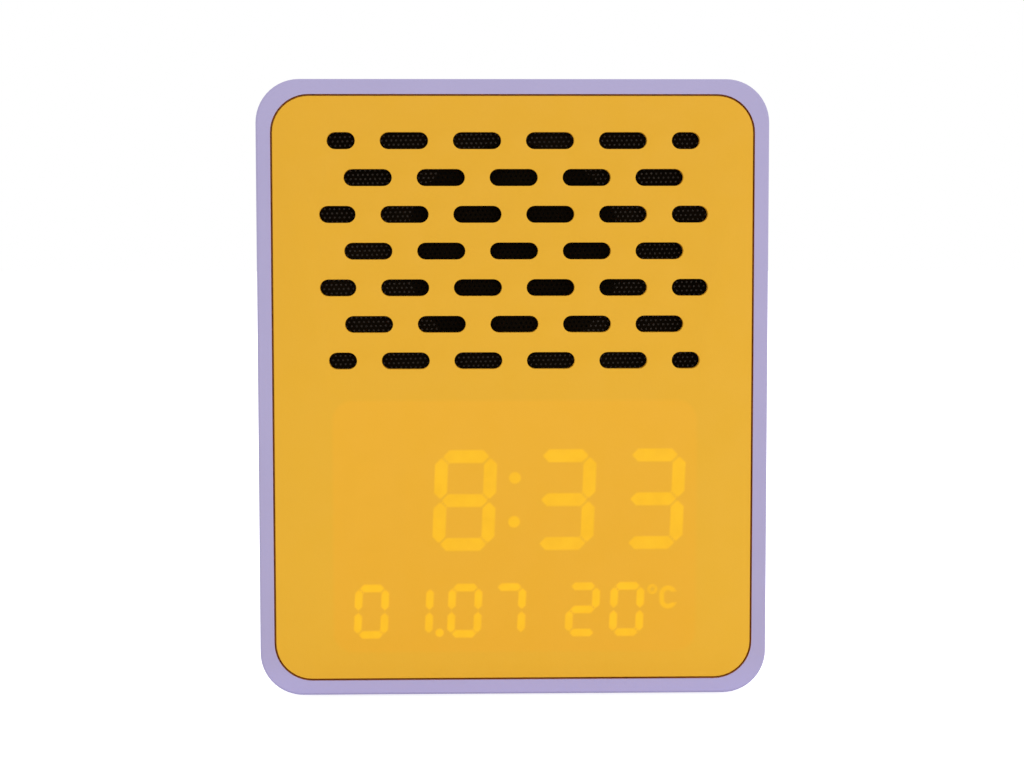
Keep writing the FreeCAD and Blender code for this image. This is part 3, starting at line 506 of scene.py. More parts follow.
@dataclass(frozen=True)
class KeyFinish(Finish):
    """Keys with a sunk mark on each: three lines, a ring, a plus and a minus."""

    ink: Colour = (0.26, 0.12, 0.008)
    key_level: float = 83.8
    columns: tuple[float, ...] = (21.33, 7.11, -7.11, -21.33)
    arm: float = 1.45
    half_stroke: float = 0.24
    line_pitch: float = 0.95
    ring_radius: float = 1.1
    edge: float = 0.05
    depth: float = 0.2

    def bar(self, tree: ShaderTree, offset: Sequence[Socket], half: Flat, shift: float = 0.0) -> Socket:
        """Share of a bar at a point, from the point's offset across and upwards."""
        wide = tree.below(tree.off(offset[0]), half[0], self.edge)
        return tree.times(wide, tree.below(tree.off(offset[1], shift), half[1], self.edge))

    def marks(self, tree: ShaderTree, place: Socket) -> Socket:
        """Draw the marks of all four keys.

        Args:
            tree: Tree of the material.
            place: Socket with the place in millimetres.

        Returns:
            Socket with 1 on a mark and 0 beside it.
        """
        across, _, level = tree.along(place)
        rise = tree.step("SUBTRACT", level, self.key_level)
        lines, ring, plus, minus = ((tree.step("SUBTRACT", across, x), rise) for x in self.columns)
        lying, upright = (self.arm, self.half_stroke), (self.half_stroke, self.arm)
        found = [self.bar(tree, lines, lying, step * self.line_pitch) for step in (-1, 0, 1)]
        found += [self.bar(tree, plus, lying), self.bar(tree, plus, upright), self.bar(tree, minus, lying)]
        away = tree.step("POWER", tree.step("ADD", *(tree.times(part, part) for part in ring)), 0.5)
        whole = tree.below(tree.off(away, self.ring_radius), self.half_stroke, self.edge)
        for share in found:
            whole = tree.step("MAXIMUM", whole, share)
        return whole

    def tone(self, tree: ShaderTree, place: Socket) -> Socket:
        """Key colour with darker marks."""
        return tree.mix(self.marks(tree, place), Finish.tone(self, tree, place), self.ink)

    def relief(self, tree: ShaderTree, place: Socket) -> Socket:
        """Fine grain with the marks sunk into it."""
        sunk = tree.times(self.marks(tree, place), self.depth)
        return tree.step("SUBTRACT", Finish.relief(self, tree, place), sunk)


@dataclass(frozen=True)
class CellFinish(Finish):
    """Shrink sleeve in two tones over a steel can whose ends stay bare."""

    band_colour: Colour = (0.5, 0.28, 0.08)
    line_colour: Colour = (0.7, 0.68, 0.6)
    steel_colour: Colour = (0.6, 0.6, 0.6)
    half_length: float = 22.25
    middle_level: float = 28.68
    reach: float = 5.6
    line_place: float = 10.4
    line_half: float = 0.3
    band_start: float = 11.1
    band_edge: float = 0.1
    bare_length: float = 1.3
    edge: float = 0.05

    def tone(self, tree: ShaderTree, place: Socket) -> Socket:
        """Colour the sleeve, its band and thin line near the raised end, and the bare steel ends.

        Args:
            tree: Tree of the material.
            place: Socket with the place in millimetres.

        Returns:
            Socket with the colour.
        """
        across, _, level = tree.along(place)
        middle_cell = tree.step("LESS_THAN", tree.off(level, self.middle_level), self.reach)
        across = tree.times(across, tree.step("ADD", tree.times(middle_cell, -2.0), 1.0))
        body = Finish.tone(self, tree, place)
        line = tree.below(tree.off(across, self.line_place), self.line_half, self.edge)
        body = tree.mix(line, body, self.line_colour)
        body = tree.mix(tree.above(across, self.band_start, self.band_edge), body, self.band_colour)
        bare = tree.above(tree.off(across), self.half_length - self.bare_length, self.edge)
        return tree.mix(bare, body, self.steel_colour)


@dataclass(frozen=True)
class ScrewFinish(Finish):
    """Plated steel with painted shade inside its cross recess."""

    # Painted shade: the dark colour inside the cross recess stands in for the shade there.
    painted_recess_shade_colour: Colour = (0.018, 0.018, 0.02)
    head_face: float = 21.6
    painted_shade_depths: Flat = (0.02, 0.3)

    def tone(self, tree: ShaderTree, place: Socket) -> Socket:
        """Colour the steel, with painted shade below the flat of the head.

        Args:
            tree: Tree of the material.
            place: Socket with the place in millimetres.

        Returns:
            Socket with the colour.
        """
        # Painted shade: darker deeper in the cross recess.
        start, full = (self.head_face - depth for depth in self.painted_shade_depths)
        deep = tree.ramp(tree.along(place)[1], full, start, 1.0, 0.0)
        return tree.mix(deep, Finish.tone(self, tree, place), self.painted_recess_shade_colour)


@dataclass(frozen=True)
class WireFinish(Finish):
    """Insulated twin leads, one side in a second colour."""

    second_colour: Colour = (0.02, 0.02, 0.022)
    pair_pitch: float = 2.4
    edge: float = 0.02

    def tone(self, tree: ShaderTree, place: Socket) -> Socket:
        """Colour each pair in two colours, split down its middle.

        Args:
            tree: Tree of the material.
            place: Socket with the place in millimetres.

        Returns:
            Socket with the colour.
        """
        stripe = tree.step("FRACT", tree.step("DIVIDE", tree.along(place)[0], self.pair_pitch))
        share = tree.above(stripe, 0.5, self.edge)
        return tree.mix(share, Finish.tone(self, tree, place), self.second_colour)


LILAC = paint(175, 167, 206)
MUSTARD = (0.818, 0.431, 0.0246)

FINISHES: dict[str, Finish] = {
    finish.slot: finish
    for finish in (
        CaseFinish("case", LILAC, roughness=0.62, grain_depth=0.014, roughness_swing=0.04, variation=0.012),
        Finish("door", LILAC, roughness=0.62, grain_depth=0.014, roughness_swing=0.04, variation=0.012),
        LitPlateFinish("plate", MUSTARD, roughness=0.6, variation=0.012, grain_depth=0.01, specular=0.25),
        Finish("talk", MUSTARD, roughness=0.55, grain_depth=0.01, variation=0.02, specular=0.3),
        KeyFinish("button", MUSTARD, roughness=0.55, grain_depth=0.01, variation=0.02, specular=0.3),
        Finish("mesh", (0.0052, 0.0036, 0.002), roughness=0.85, variation=0.3, specular=0.0),
        Finish("diffuser", (0.85, 0.8, 0.7), roughness=0.45, variation=0.03),
        Finish("reflector", (0.75, 0.75, 0.73), roughness=0.4, variation=0.03),
        BoardFinish("board", (0.008, 0.062, 0.03), roughness=0.35, coat=0.3, variation=0.1),
        ScrewFinish("screw", (0.4, 0.4, 0.42), roughness=0.32, metallic=1.0, grain_size=0.25, variation=0.08),
        Finish("ribbon", (0.72, 0.72, 0.7), roughness=0.4, stretch=(3.0, 0.1, 0.1), variation=0.05),
        Finish("basket", (0.0125, 0.0095, 0.0075), roughness=0.6, variation=0.3, specular=0.12),
        Finish("film", (0.0125, 0.0095, 0.0075), roughness=0.5, variation=0.3, specular=0.12),
        Finish("steel", (0.5, 0.5, 0.51), roughness=0.35, metallic=1.0, variation=0.08),
        Finish("chip", (0.008, 0.008, 0.009), roughness=0.6, variation=0.3),
        Finish("can", (0.55, 0.55, 0.56), roughness=0.3, metallic=1.0, stretch=(0.1, 3.0, 3.0)),
        Finish("capacitor", (0.16, 0.02, 0.01), roughness=0.25, coat=0.4, variation=0.15),
        Finish("header", (0.68, 0.66, 0.58), roughness=0.45, variation=0.04),
        WireFinish("wire", (0.34, 0.012, 0.01), roughness=0.4, variation=0.1),
        Finish("sensor", (0.012, 0.009, 0.007), roughness=0.35, variation=0.3),
        Finish("switch", (0.014, 0.014, 0.014), roughness=0.5, variation=0.25),
        Finish("socket", (0.55, 0.55, 0.56), roughness=0.22, metallic=1.0, variation=0.05),
        Finish("insulator", (0.006, 0.006, 0.0065), roughness=0.5, variation=0.25),
        Finish("plunger", (0.62, 0.62, 0.6), roughness=0.45, variation=0.04),
        CellFinish("cell", (0.028, 0.12, 0.07), roughness=0.3, coat=0.3, variation=0.08),
        Finish("contact", (0.6, 0.59, 0.57), roughness=0.28, metallic=1.0, variation=0.06),
        Finish("foot", (0.05, 0.05, 0.055), roughness=0.8, grain_size=0.5, grain_depth=0.03, variation=0.12),
    )
}


class Wardrobe:
    """Builds each finish once and hands it out by slot."""

    def __init__(self) -> None:
        """Start with no material built."""
        self.built: dict[str, bpy.types.Material] = {}

    def material(self, slot: str) -> bpy.types.Material:
        """Hand out the material of a slot, built when it is first asked for.

        Args:
            slot: Name of the slot.

        Returns:
            The material.
        """
        if slot not in self.built:
            self.built[slot] = FINISHES[slot].material()
        return self.built[slot]

    def dress(self, piece: bpy.types.Object, slot: str) -> None:
        """Give a piece the material of a slot."""
        piece.data.materials.clear()
        piece.data.materials.append(self.material(slot))


# Shapes


def stadium_loop(x: float, level: float, length: float, height: float, steps: int) -> Loop:
    """Outline of a slot with round ends, counterclockwise.

    Args:
        x: Middle of the slot across the clock.
        level: Middle of the slot above the ground.
        length: Length over both ends.
        height: Height, which is twice the ends' radius.
        steps: Number of edges on each round end.

    Returns:
        Points as (x, level).
    """
    radius = height / 2
    reach = length / 2 - radius
    loop = []
    for side, turn in ((1, -math.pi / 2), (-1, math.pi / 2)):
        for step in range(steps + 1):
            angle = turn + math.pi * step / steps
            loop.append((x + side * reach + radius * math.cos(angle), level + radius * math.sin(angle)))
    return loop


def rounded_loop(x: float, level: float, width: float, height: float, radius: float, steps: int) -> Loop:
    """Outline of a rectangle with round corners, counterclockwise.

    Args:
        x: Middle across the clock.
        level: Middle above the ground.
        width: Full width.
        height: Full height.
        radius: Radius of the corners.
        steps: Number of edges on each corner.

    Returns:
        Points as (x, level).
    """
    reach, rise = width / 2 - radius, height / 2 - radius
    loop = []
    for turn, (side_x, side_z) in enumerate(((1, 1), (-1, 1), (-1, -1), (1, -1))):
        for step in range(steps + 1):
            angle = (turn + step / steps) * math.pi / 2
            loop.append((
                x + side_x * reach + radius * math.cos(angle),
                level + side_z * rise + radius * math.sin(angle),
            ))
    return loop


def inside(points: np.ndarray, loop: Loop) -> np.ndarray:
    """Find the points that lie inside a closed outline.

    Args:
        points: Points as rows of (x, level).
        loop: The outline.

    Returns:
        True for each point inside.
    """
    found = np.zeros(len(points), bool)
    for (ax, az), (bx, bz) in zip(loop, loop[1:] + loop[:1]):
        if az == bz:
            continue
        crosses = (az > points[:, 1]) != (bz > points[:, 1])
        at = (bx - ax) * (points[:, 1] - az) / (bz - az) + ax
        found ^= crosses & (points[:, 0] < at)
    return found


def outline_distance(points: np.ndarray, loop: Loop) -> np.ndarray:
    """Measure how far points are from an outline.

    Args:
        points: Points as rows of (x, level).
        loop: The outline.

    Returns:
        Distance of each point, below 0 inside the outline.
    """
    near = np.full(len(points), np.inf)
    for start, end in zip(loop, loop[1:] + loop[:1]):
        a, b = np.array(start), np.array(end)
        along = np.clip(((points - a) @ (b - a)) / max((b - a) @ (b - a), TINY), 0, 1)
        near = np.minimum(near, np.linalg.norm(points - (a + along[:, None] * (b - a)), axis=1))
    return np.where(inside(points, loop), -near, near)


def resize(shape: bmesh.types.BMesh, factor: float) -> None:
    """Scale a whole shape about the origin."""
    bmesh.ops.scale(shape, vec=(factor,) * 3, verts=shape.verts)


def finished_mesh(shape: bmesh.types.BMesh, name: str) -> bpy.types.Object:
    """Turn a shape drawn in millimetres into a linked object at the origin.

    Args:
        shape: The drawn shape; it is freed.
        name: Name of the piece.

    Returns:
        The new object.
    """
    resize(shape, MM)
    mesh = bpy.data.meshes.new(name)
    shape.to_mesh(mesh)
    shape.free()
    return placed(mesh, name, CREASE)


def placed(mesh: bpy.types.Mesh, name: str, sharp: float | None) -> bpy.types.Object:
    """Link a mesh as an object at the origin.

    Args:
        mesh: Mesh in metres.
        name: Name of the piece and its mesh.
        sharp: Edges that bend by more degrees than this stay crisp; None keeps the shading as it is.

    Returns:
        The new object.
    """
    mesh.name = name
    if sharp is not None:
        mesh.polygons.foreach_set("use_smooth", [True] * len(mesh.polygons))
        mesh.set_sharp_from_angle(angle=math.radians(sharp))
    piece = bpy.data.objects.new(name, mesh)
    bpy.context.scene.collection.objects.link(piece)
    return piece


def baked(piece: bpy.types.Object) -> bpy.types.Mesh:
    """Work the modifiers of an object into a plain mesh.

    Args:
        piece: The object.

    Returns:
        The new mesh.
    """
    bpy.context.view_layer.update()
    graph = bpy.context.evaluated_depsgraph_get()
    return bpy.data.meshes.new_from_object(piece.evaluated_get(graph))


def filled(
    loops: Sequence[Loop], keep: Callable[[np.ndarray], np.ndarray]
) -> tuple[list[Flat], list[Sequence[int]]]:
    """Fill flat outlines with triangles.

    Args:
        loops: Closed outlines as (x, level).
        keep: Function from an array of middle points to True for each one that is kept.

    Returns:
        Points and the kept triangles.
    """
    points: list[Vector] = []
    edges: list[tuple[int, int]] = []
    for loop in loops:
        first = len(points)
        points.extend(Vector(place) for place in loop)
        edges.extend((first + i, first + (i + 1) % len(loop)) for i in range(len(loop)))
    made, _, faces, _, _, _ = delaunay_2d_cdt(points, edges, [], 0, FILL_MERGE)
    flat = np.array([tuple(p) for p in made])
    middles = np.array([flat[list(face)].mean(axis=0) for face in faces])
    kept = keep(middles)
    return [tuple(p) for p in flat], [face for face, use in zip(faces, kept) if use]


def raised(loop: Iterable[Flat], depth: float) -> list[Vector]:
    """An outline as points at one depth."""
    return [Vector((x, depth, level)) for x, level in loop]


def ring_walls(shape: bmesh.types.BMesh, rings: Sequence[Sequence[Vector]]) -> None:
    """Join rings of equal count with four-sided faces.

    Args:
        shape: Shape that is drawn on.
        rings: Rings of points, in order.
    """
    rows = [[shape.verts.new(place) for place in ring] for ring in rings]
    for near, far in zip(rows, rows[1:]):
        count = len(near)
        for i in range(count):
            j = (i + 1) % count
            shape.faces.new((near[i], near[j], far[j], far[i]))


def tidy_shell(shape: bmesh.types.BMesh) -> None:
    """Merge doubled points and turn all faces outwards."""
    bmesh.ops.remove_doubles(shape, verts=shape.verts, dist=MERGE)
    bmesh.ops.recalc_face_normals(shape, faces=shape.faces)


# Lit face


class Segment(Enum):
    """The seven strokes of a digit, as shares of its half width and half height."""

    TOP = (0.0, 1.0)
    UPPER_RIGHT = (1.0, 0.5)
    LOWER_RIGHT = (1.0, -0.5)
    BOTTOM = (0.0, -1.0)
    LOWER_LEFT = (-1.0, -0.5)
    UPPER_LEFT = (-1.0, 0.5)
    MIDDLE = (0.0, 0.0)


RIGHT_SIDE = (Segment.UPPER_RIGHT, Segment.LOWER_RIGHT)
LEFT_SIDE = (Segment.UPPER_LEFT, Segment.LOWER_LEFT)
DIGIT_STROKES: dict[str, tuple[Segment, ...]] = {
    "0": (Segment.TOP, Segment.BOTTOM, *RIGHT_SIDE, *LEFT_SIDE),
    "1": RIGHT_SIDE,
    "2": (Segment.TOP, Segment.UPPER_RIGHT, Segment.MIDDLE, Segment.LOWER_LEFT, Segment.BOTTOM),
    "3": (Segment.TOP, Segment.MIDDLE, Segment.BOTTOM, *RIGHT_SIDE),
    "7": (Segment.TOP, *RIGHT_SIDE),
    "8": tuple(Segment),
}


@dataclass
class Digit:
    """One slanted digit made of pointed strokes."""

    figure: str
    x: float
    level: float
    width: float
    height: float
    stroke: float
    slant: float = math.radians(2.25)
    tip_gap: float = 0.4
    shoulder_share: float = 0.88
    blunt_share: float = 0.1

    def outlines(self) -> list[Loop]:
        """Draw the strokes of the digit.

        Returns:
            Outline of each lit stroke.
        """
        loops = []
        for segment in DIGIT_STROKES[self.figure]:
            share_x, share_z = segment.value
            middle_x = share_x * (self.width - self.stroke) / 2
            middle_z = share_z * (self.height - self.stroke) / 2
            upright = share_x != 0
            span = (self.height - self.stroke) / 2 if upright else self.width - self.stroke
            tip = span / 2 - self.tip_gap
            half = self.stroke / 2
            shoulder = tip - half * self.shoulder_share
            blunt = half * self.blunt_share
            along = [
                (-tip, blunt), (-shoulder, half), (shoulder, half), (tip, blunt),
                (tip, -blunt), (shoulder, -half), (-shoulder, -half), (-tip, -blunt),
            ]
            loop = []
            for run, across in along:
                move_x, move_z = (across, run) if upright else (run, across)
                rise = middle_z + move_z
                loop.append((self.x + middle_x + move_x + rise * math.tan(self.slant), self.level + rise))
            loops.append(loop)
        return loops


def strokes_distance(points: np.ndarray, digits: Iterable[Digit]) -> np.ndarray:
    """Measure how far points are from the strokes of some digits.

    Args:
        points: Points as rows of (x, level).
        digits: Digits whose strokes count.

    Returns:
        Distance of each point from the nearest stroke, below 0 inside it.
    """
    near = np.full(len(points), np.inf)
    for digit in digits:
        for loop in digit.outlines():
            near = np.minimum(near, outline_distance(points, loop))
    return near


@dataclass
class LitFace:
    """What the clock shows through its thinned field: time, date and temperature."""

    big_drop: float = 82.38
    big_size: Flat = (12.2, 19.95)
    big_stroke: float = 2.55
    big_columns: tuple[tuple[str, float], ...] = (("8", -9.59), ("3", 9.97), ("3", 27.56))
    unlit_column: float = -27.5
    colon: tuple[Flat, ...] = ((0.3, 77.9), (0.12, 86.62))
    colon_radius: float = 1.15
    small_drop: float = 104.28
    small_size: Flat = (6.7, 10.75)
    small_stroke: float = 1.5
    small_tip_gap: float = 0.3
    small_columns: tuple[tuple[str, float], ...] = (
        ("0", -28.03), ("1", -19.22), ("0", -9.64), ("7", -0.99), ("2", 13.62), ("0", 22.4),
    )
    tilt: float = 0.0053
    pivot: float = -12.0
    point: Flat = (-14.63, 108.65)
    point_radius: float = 0.82
    ring: Flat = (27.47, 100.15)
    ring_radius: float = 0.72
    ring_stroke: float = 0.5
    letter: Flat = (30.6, 101.75)
    letter_size: Flat = (3.45, 4.6)
    letter_stroke: float = 0.92
    letter_corner: float = 1.5
    letter_mouth: float = 1.1

    def digits(self) -> list[Digit]:
        """Lay out the digits that are on.

        Returns:
            All lit digits.
        """
        big = [
            Digit(figure, x, self.level_at(self.big_drop, x), *self.big_size, self.big_stroke)
            for figure, x in self.big_columns
        ]
        small = [
            Digit(figure, x, self.level_at(self.small_drop, x), *self.small_size, self.small_stroke,
                  tip_gap=self.small_tip_gap)
            for figure, x in self.small_columns
        ]
        return big + small

    def level_at(self, drop: float, x: float) -> float:
        """Height of a row of digits at a place across, with the row's slight tilt."""
        return TOP_LEVEL - drop + (x - self.pivot) * self.tilt

    def digit_field(self, points: np.ndarray) -> np.ndarray:
        """Measure how far points are from the lit strokes and dots.

        Args:
            points: Points as rows of (x, level).

        Returns:
            Distance of each point from the nearest one, below 0 inside it.
        """
        near = strokes_distance(points, self.digits())
        dots = [(place, self.colon_radius) for place in self.colon] + [(self.point, self.point_radius)]
        for (x, drop), radius in dots:
            away = np.linalg.norm(points - np.array((x, TOP_LEVEL - drop)), axis=1)
            near = np.minimum(near, away - radius)
        return near

    def mark_field(self, points: np.ndarray) -> np.ndarray:
        """Measure how far points are from the degree ring and the letter beside it.

        Args:
            points: Points as rows of (x, level).

        Returns:
            Distance of each point from the nearer one, below 0 inside it.
        """
        x, drop = self.ring
        away = np.linalg.norm(points - np.array((x, TOP_LEVEL - drop)), axis=1)
        near = np.abs(away - self.ring_radius) - self.ring_stroke / 2
        x, drop = self.letter
        offset = points - np.array((x, TOP_LEVEL - drop))
        half = np.array(self.letter_size) / 2 - self.letter_stroke / 2
        corner = np.minimum(self.letter_corner, half.min())
        excess = np.abs(offset) - (half - corner)
        box = np.linalg.norm(np.maximum(excess, 0), axis=1) + np.minimum(excess.max(axis=1), 0) - corner
        letter = np.abs(box) - self.letter_stroke / 2
        mouth = np.maximum(np.abs(offset[:, 1]) - self.letter_mouth, -offset[:, 0])
        letter = np.maximum(letter, -mouth)
        return np.minimum(near, letter)

    def unlit_field(self, points: np.ndarray) -> np.ndarray:
        """Measure how far points are from the strokes of the digit that is off.

        Args:
            points: Points as rows of (x, level).

        Returns:
            Distance of each point, below 0 inside a stroke.
        """
        level = self.level_at(self.big_drop, self.unlit_column)
        digit = Digit("8", self.unlit_column, level, *self.big_size, self.big_stroke)
        return strokes_distance(points, [digit])


@dataclass
class FrontPlate:
    """Slotted plate, thinned from behind over the lights."""

    node: str = "front_plate"
    corner: float = 7.12
    edge_round: float = 0.14
    slot_round: float = 0.08
    round_steps: int = 3
    slot_height: float = 3.3
    slot_length: float = 9.4
    outer_length: float = 7.1
    corner_length: float = 5.5
    slot_shift: float = 0.08
    row_shift: float = 0.03
    column_pitch: float = 14.22
    row_pitch: float = 7.15
    first_drop: float = 11.9
    rows: int = 7
    long_count: int = 6
    field_size: Flat = (71.6, 49.9)
    field_drop: float = 62.6
    field_corner: float = 4.0
    skin: float = 0.6
    field_x: float = 0.3
    grid_step: float = 0.4
    grid_margin: float = 1.2
    arc_steps: int = 10
    field_reach: float = 2.0
    face: LitFace = field(default_factory=LitFace)

    def __post_init__(self) -> None:
        """Take the measures from the plate's node and start the drawing."""
        low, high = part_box(self.node)
        self.width, self.height = (high.x - low.x) / MM, (high.z - low.z) / MM
        self.front, self.thickness = low.y / MM, (high.y - low.y) / MM
        self.middle = (high.z + low.z) / 2 / MM
        self.field_level = TOP_LEVEL - self.field_drop - self.field_size[1] / 2
        self.shape = bmesh.new()

    def slots(self) -> list[Slot]:
        """Lay out the slots.

        Returns:
            Each slot as (x, level, length), row by row from the top.
        """
        places = []
        for row in range(self.rows):
            level = TOP_LEVEL - self.first_drop - row * self.row_pitch
            long_row = row % 2 == 0
            count = self.long_count if long_row else self.long_count - 1
            outer = self.corner_length if row in (0, self.rows - 1) else self.outer_length
            for column in range(count):
                x = (column - (count - 1) / 2) * self.column_pitch
                length = self.slot_length
                if long_row and column in (0, count - 1):
                    x -= math.copysign((self.slot_length - outer) / 2, x)
                    length = outer
                places.append((x + self.slot_shift + row * self.row_shift, level, length))
        return places

    def grid(self) -> tuple[np.ndarray, np.ndarray]:
        """Lay out the fine points over the thin field.

        Returns:
            Their places across and their levels.
        """
        half_x, half_z = (size / 2 + self.grid_margin for size in self.field_size)
        columns, lines = (round(2 * half / self.grid_step) for half in (half_x, half_z))
        xs = np.linspace(-half_x, half_x, columns + 1)
        return xs, np.linspace(self.field_level - half_z, self.field_level + half_z, lines + 1)

    def outline(self, growth: float) -> Loop:
        """Edge of the plate, grown by an amount."""
        size = (self.width + 2 * growth, self.height + 2 * growth)
        return rounded_loop(0, self.middle, *size, self.corner + growth, self.arc_steps)

    def slot_loop(self, slot: Slot, growth: float) -> Loop:
        """Edge of a slot, grown by an amount."""
        x, level, length = slot
        return stadium_loop(x, level, length + 2 * growth, self.slot_height + 2 * growth, self.arc_steps)

    def field_loop(self, x: float) -> Loop:
        """Edge of the thin field around a middle across."""
        return rounded_loop(x, self.field_level, *self.field_size, self.field_corner, self.arc_steps)

    def build(self) -> bpy.types.Object:
        """Draw the plate with its slots, thin field and fine grid of points.

        Returns:
            The plate with its distance attributes.
        """
        slots = self.slots()
        back, thin = self.front + self.thickness, self.front + self.skin
        self.walls(self.outline, self.edge_round, -1)
        for slot in slots:
            self.walls(partial(self.slot_loop, slot), self.slot_round, 1)
        xs, zs = self.grid()
        border = [(x, zs[0]) for x in xs[:-1]] + [(xs[-1], z) for z in zs[:-1]]
        border += [(x, zs[-1]) for x in xs[:0:-1]] + [(xs[0], z) for z in zs[:0:-1]]
        front_slots = [self.slot_loop(slot, self.slot_round) for slot in slots]
        self.cap(self.front, self.outline(-self.edge_round), [*front_slots, border])
        recess = self.field_loop(0)
        self.cap(back, self.outline(0), [self.slot_loop(slot, 0) for slot in slots] + [recess])
        ring_walls(self.shape, [raised(recess, depth) for depth in (back, thin)])
        self.shape.faces.new([self.shape.verts.new(place) for place in raised(recess, thin)])
        rows = [[self.shape.verts.new((x, self.front, z)) for x in xs] for z in zs]
        for lower, upper in zip(rows, rows[1:]):
            for i in range(len(xs) - 1):
                self.shape.faces.new((lower[i], lower[i + 1], upper[i + 1], upper[i]))
        tidy_shell(self.shape)
        plate = finished_mesh(self.shape, "front_plate_slotted")
        self.measure(plate.data)
        return plate

    def walls(self, make: Callable[[float], Loop], size: float, sign: int) -> None:
        """Draw the rounded front edge and the straight wall of one outline.

        Args:
            make: Function from a growth to the outline.
            size: Radius of the rounded edge.
            sign: 1 for a hole, -1 for the plate's own outline.
        """
        rings = []
        for step in range(self.round_steps + 1):
            bend = math.pi / 2 * step / self.round_steps
            loop = make(sign * size * (1 - math.sin(bend)))
            rings.append(raised(loop, self.front + size * (1 - math.cos(bend))))
        rings.append(raised(make(0), self.front + self.thickness))
        ring_walls(self.shape, rings)

    def cap(self, depth: float, edge: Loop, holes: list[Loop]) -> None:
        """Fill one flat side of the plate around its holes.

        Args:
            depth: Depth of the side.
            edge: Outline of the side.
            holes: Outlines that stay open.
        """

        def keep(middles: np.ndarray) -> np.ndarray:
            """True between the edge and the holes."""
            return inside(middles, edge) & ~np.any([inside(middles, hole) for hole in holes], axis=0)

        points, faces = filled([edge, *holes], keep)
        corners = [self.shape.verts.new(place) for place in raised(points, depth)]
        for face in faces:
            self.shape.faces.new([corners[i] for i in face])
        bmesh.ops.delete(self.shape, geom=[c for c in corners if not c.link_faces], context="VERTS")

    def measure(self, mesh: bpy.types.Mesh) -> None:
        """Keep at each point how far it is from what is lit, marked, unlit and thin.

        Args:
            mesh: Finished mesh of the plate, in metres.
        """
        places = np.zeros(len(mesh.vertices) * 3, np.float32)
        mesh.vertices.foreach_get("co", places)
        points = places.reshape(-1, 3)[:, (0, 2)].astype(float) / MM
        fields = {
            "digit": self.face.digit_field(points),
            "mark": self.face.mark_field(points),
            "unlit": self.face.unlit_field(points),
            "field": outline_distance(points, self.field_loop(self.field_x)),
        }
        for name, values in fields.items():
            kept = mesh.attributes.new(name, "FLOAT", "POINT")
            near = np.clip(values, -self.field_reach, self.field_reach)
            kept.data.foreach_set("value", near.astype(np.float32))


# Repeated forms


class GrowthTree(NodeTree):
    """Adds and joins the nodes of one Geometry Nodes tree."""

    def __init__(self, name: str, inputs: dict[str, float]) -> None:
        """Start a tree with named inputs.

        Args:
            name: Name of the tree.
            inputs: Value of each named input; whole numbers make whole-number sockets.
        """
        super().__init__(bpy.data.node_groups.new(name, "GeometryNodeTree"))
        self.tree.interface.new_socket("Geometry", in_out="OUTPUT", socket_type="NodeSocketGeometry")
        self.values: dict[str, float] = {}
        for label, value in inputs.items():
            kind = "NodeSocketInt" if isinstance(value, int) else "NodeSocketFloat"
            socket = self.tree.interface.new_socket(label, in_out="INPUT", socket_type=kind)
            self.values[socket.identifier] = value
        self.entry = self.add("NodeGroupInput")

    def input(self, label: str) -> Socket:
        """Socket of a named input."""
        return self.entry.outputs[label]

    def vector(self, x: Number = 0.0, y: Number = 0.0, z: Number = 0.0) -> Socket:
        """Three numbers as one vector."""
        return self.add("ShaderNodeCombineXYZ", {"X": x, "Y": y, "Z": z}).outputs["Vector"]

    def move(
        self, shape: Socket, offset: Move = (0, 0, 0), turn: Move = (0, 0, 0), scale: Move = (1, 1, 1)
    ) -> Socket:
        """Moved copy of a shape."""
        inputs = {"Geometry": shape, "Translation": offset, "Rotation": turn, "Scale": scale}
        return self.add("GeometryNodeTransform", inputs).outputs["Geometry"]

    def down(self, depth: Number, share: float = 1.0) -> Socket:
        """Vector that points down by a share of a depth."""
        return self.vector(0.0, 0.0, self.times(depth, -share))

    def finish(self, shape: Socket, material: bpy.types.Material) -> None:
        """End the tree in plain geometry with its material.

        Args:
            shape: Socket with the whole shape.
            material: Finish of the shape.
        """
        real = self.add("GeometryNodeRealizeInstances", {"Geometry": shape}).outputs["Geometry"]
        coated = self.add("GeometryNodeSetMaterial", {"Geometry": real, "Material": material})
        self.add("NodeGroupOutput", {"Geometry": coated.outputs["Geometry"]})

    def grow(self, name: str, sharp: float = CREASE) -> bpy.types.Object:
        """Run the tree on an empty mesh and keep the result as a plain one.

        Args:
            name: Name of the new piece.
            sharp: Edges that bend by more degrees than this stay crisp.

        Returns:
            The new piece, without the modifier.
        """
        seed = bpy.data.objects.new(name + "_seed", bpy.data.meshes.new(name + "_seed"))
        bpy.context.scene.collection.objects.link(seed)
        modifier = seed.modifiers.new("growth", "NODES")
        modifier.node_group = self.tree
        for identifier, value in self.values.items():
            modifier[identifier] = value
        mesh = baked(seed)
        bpy.data.objects.remove(seed)
        return placed(mesh, name, sharp)


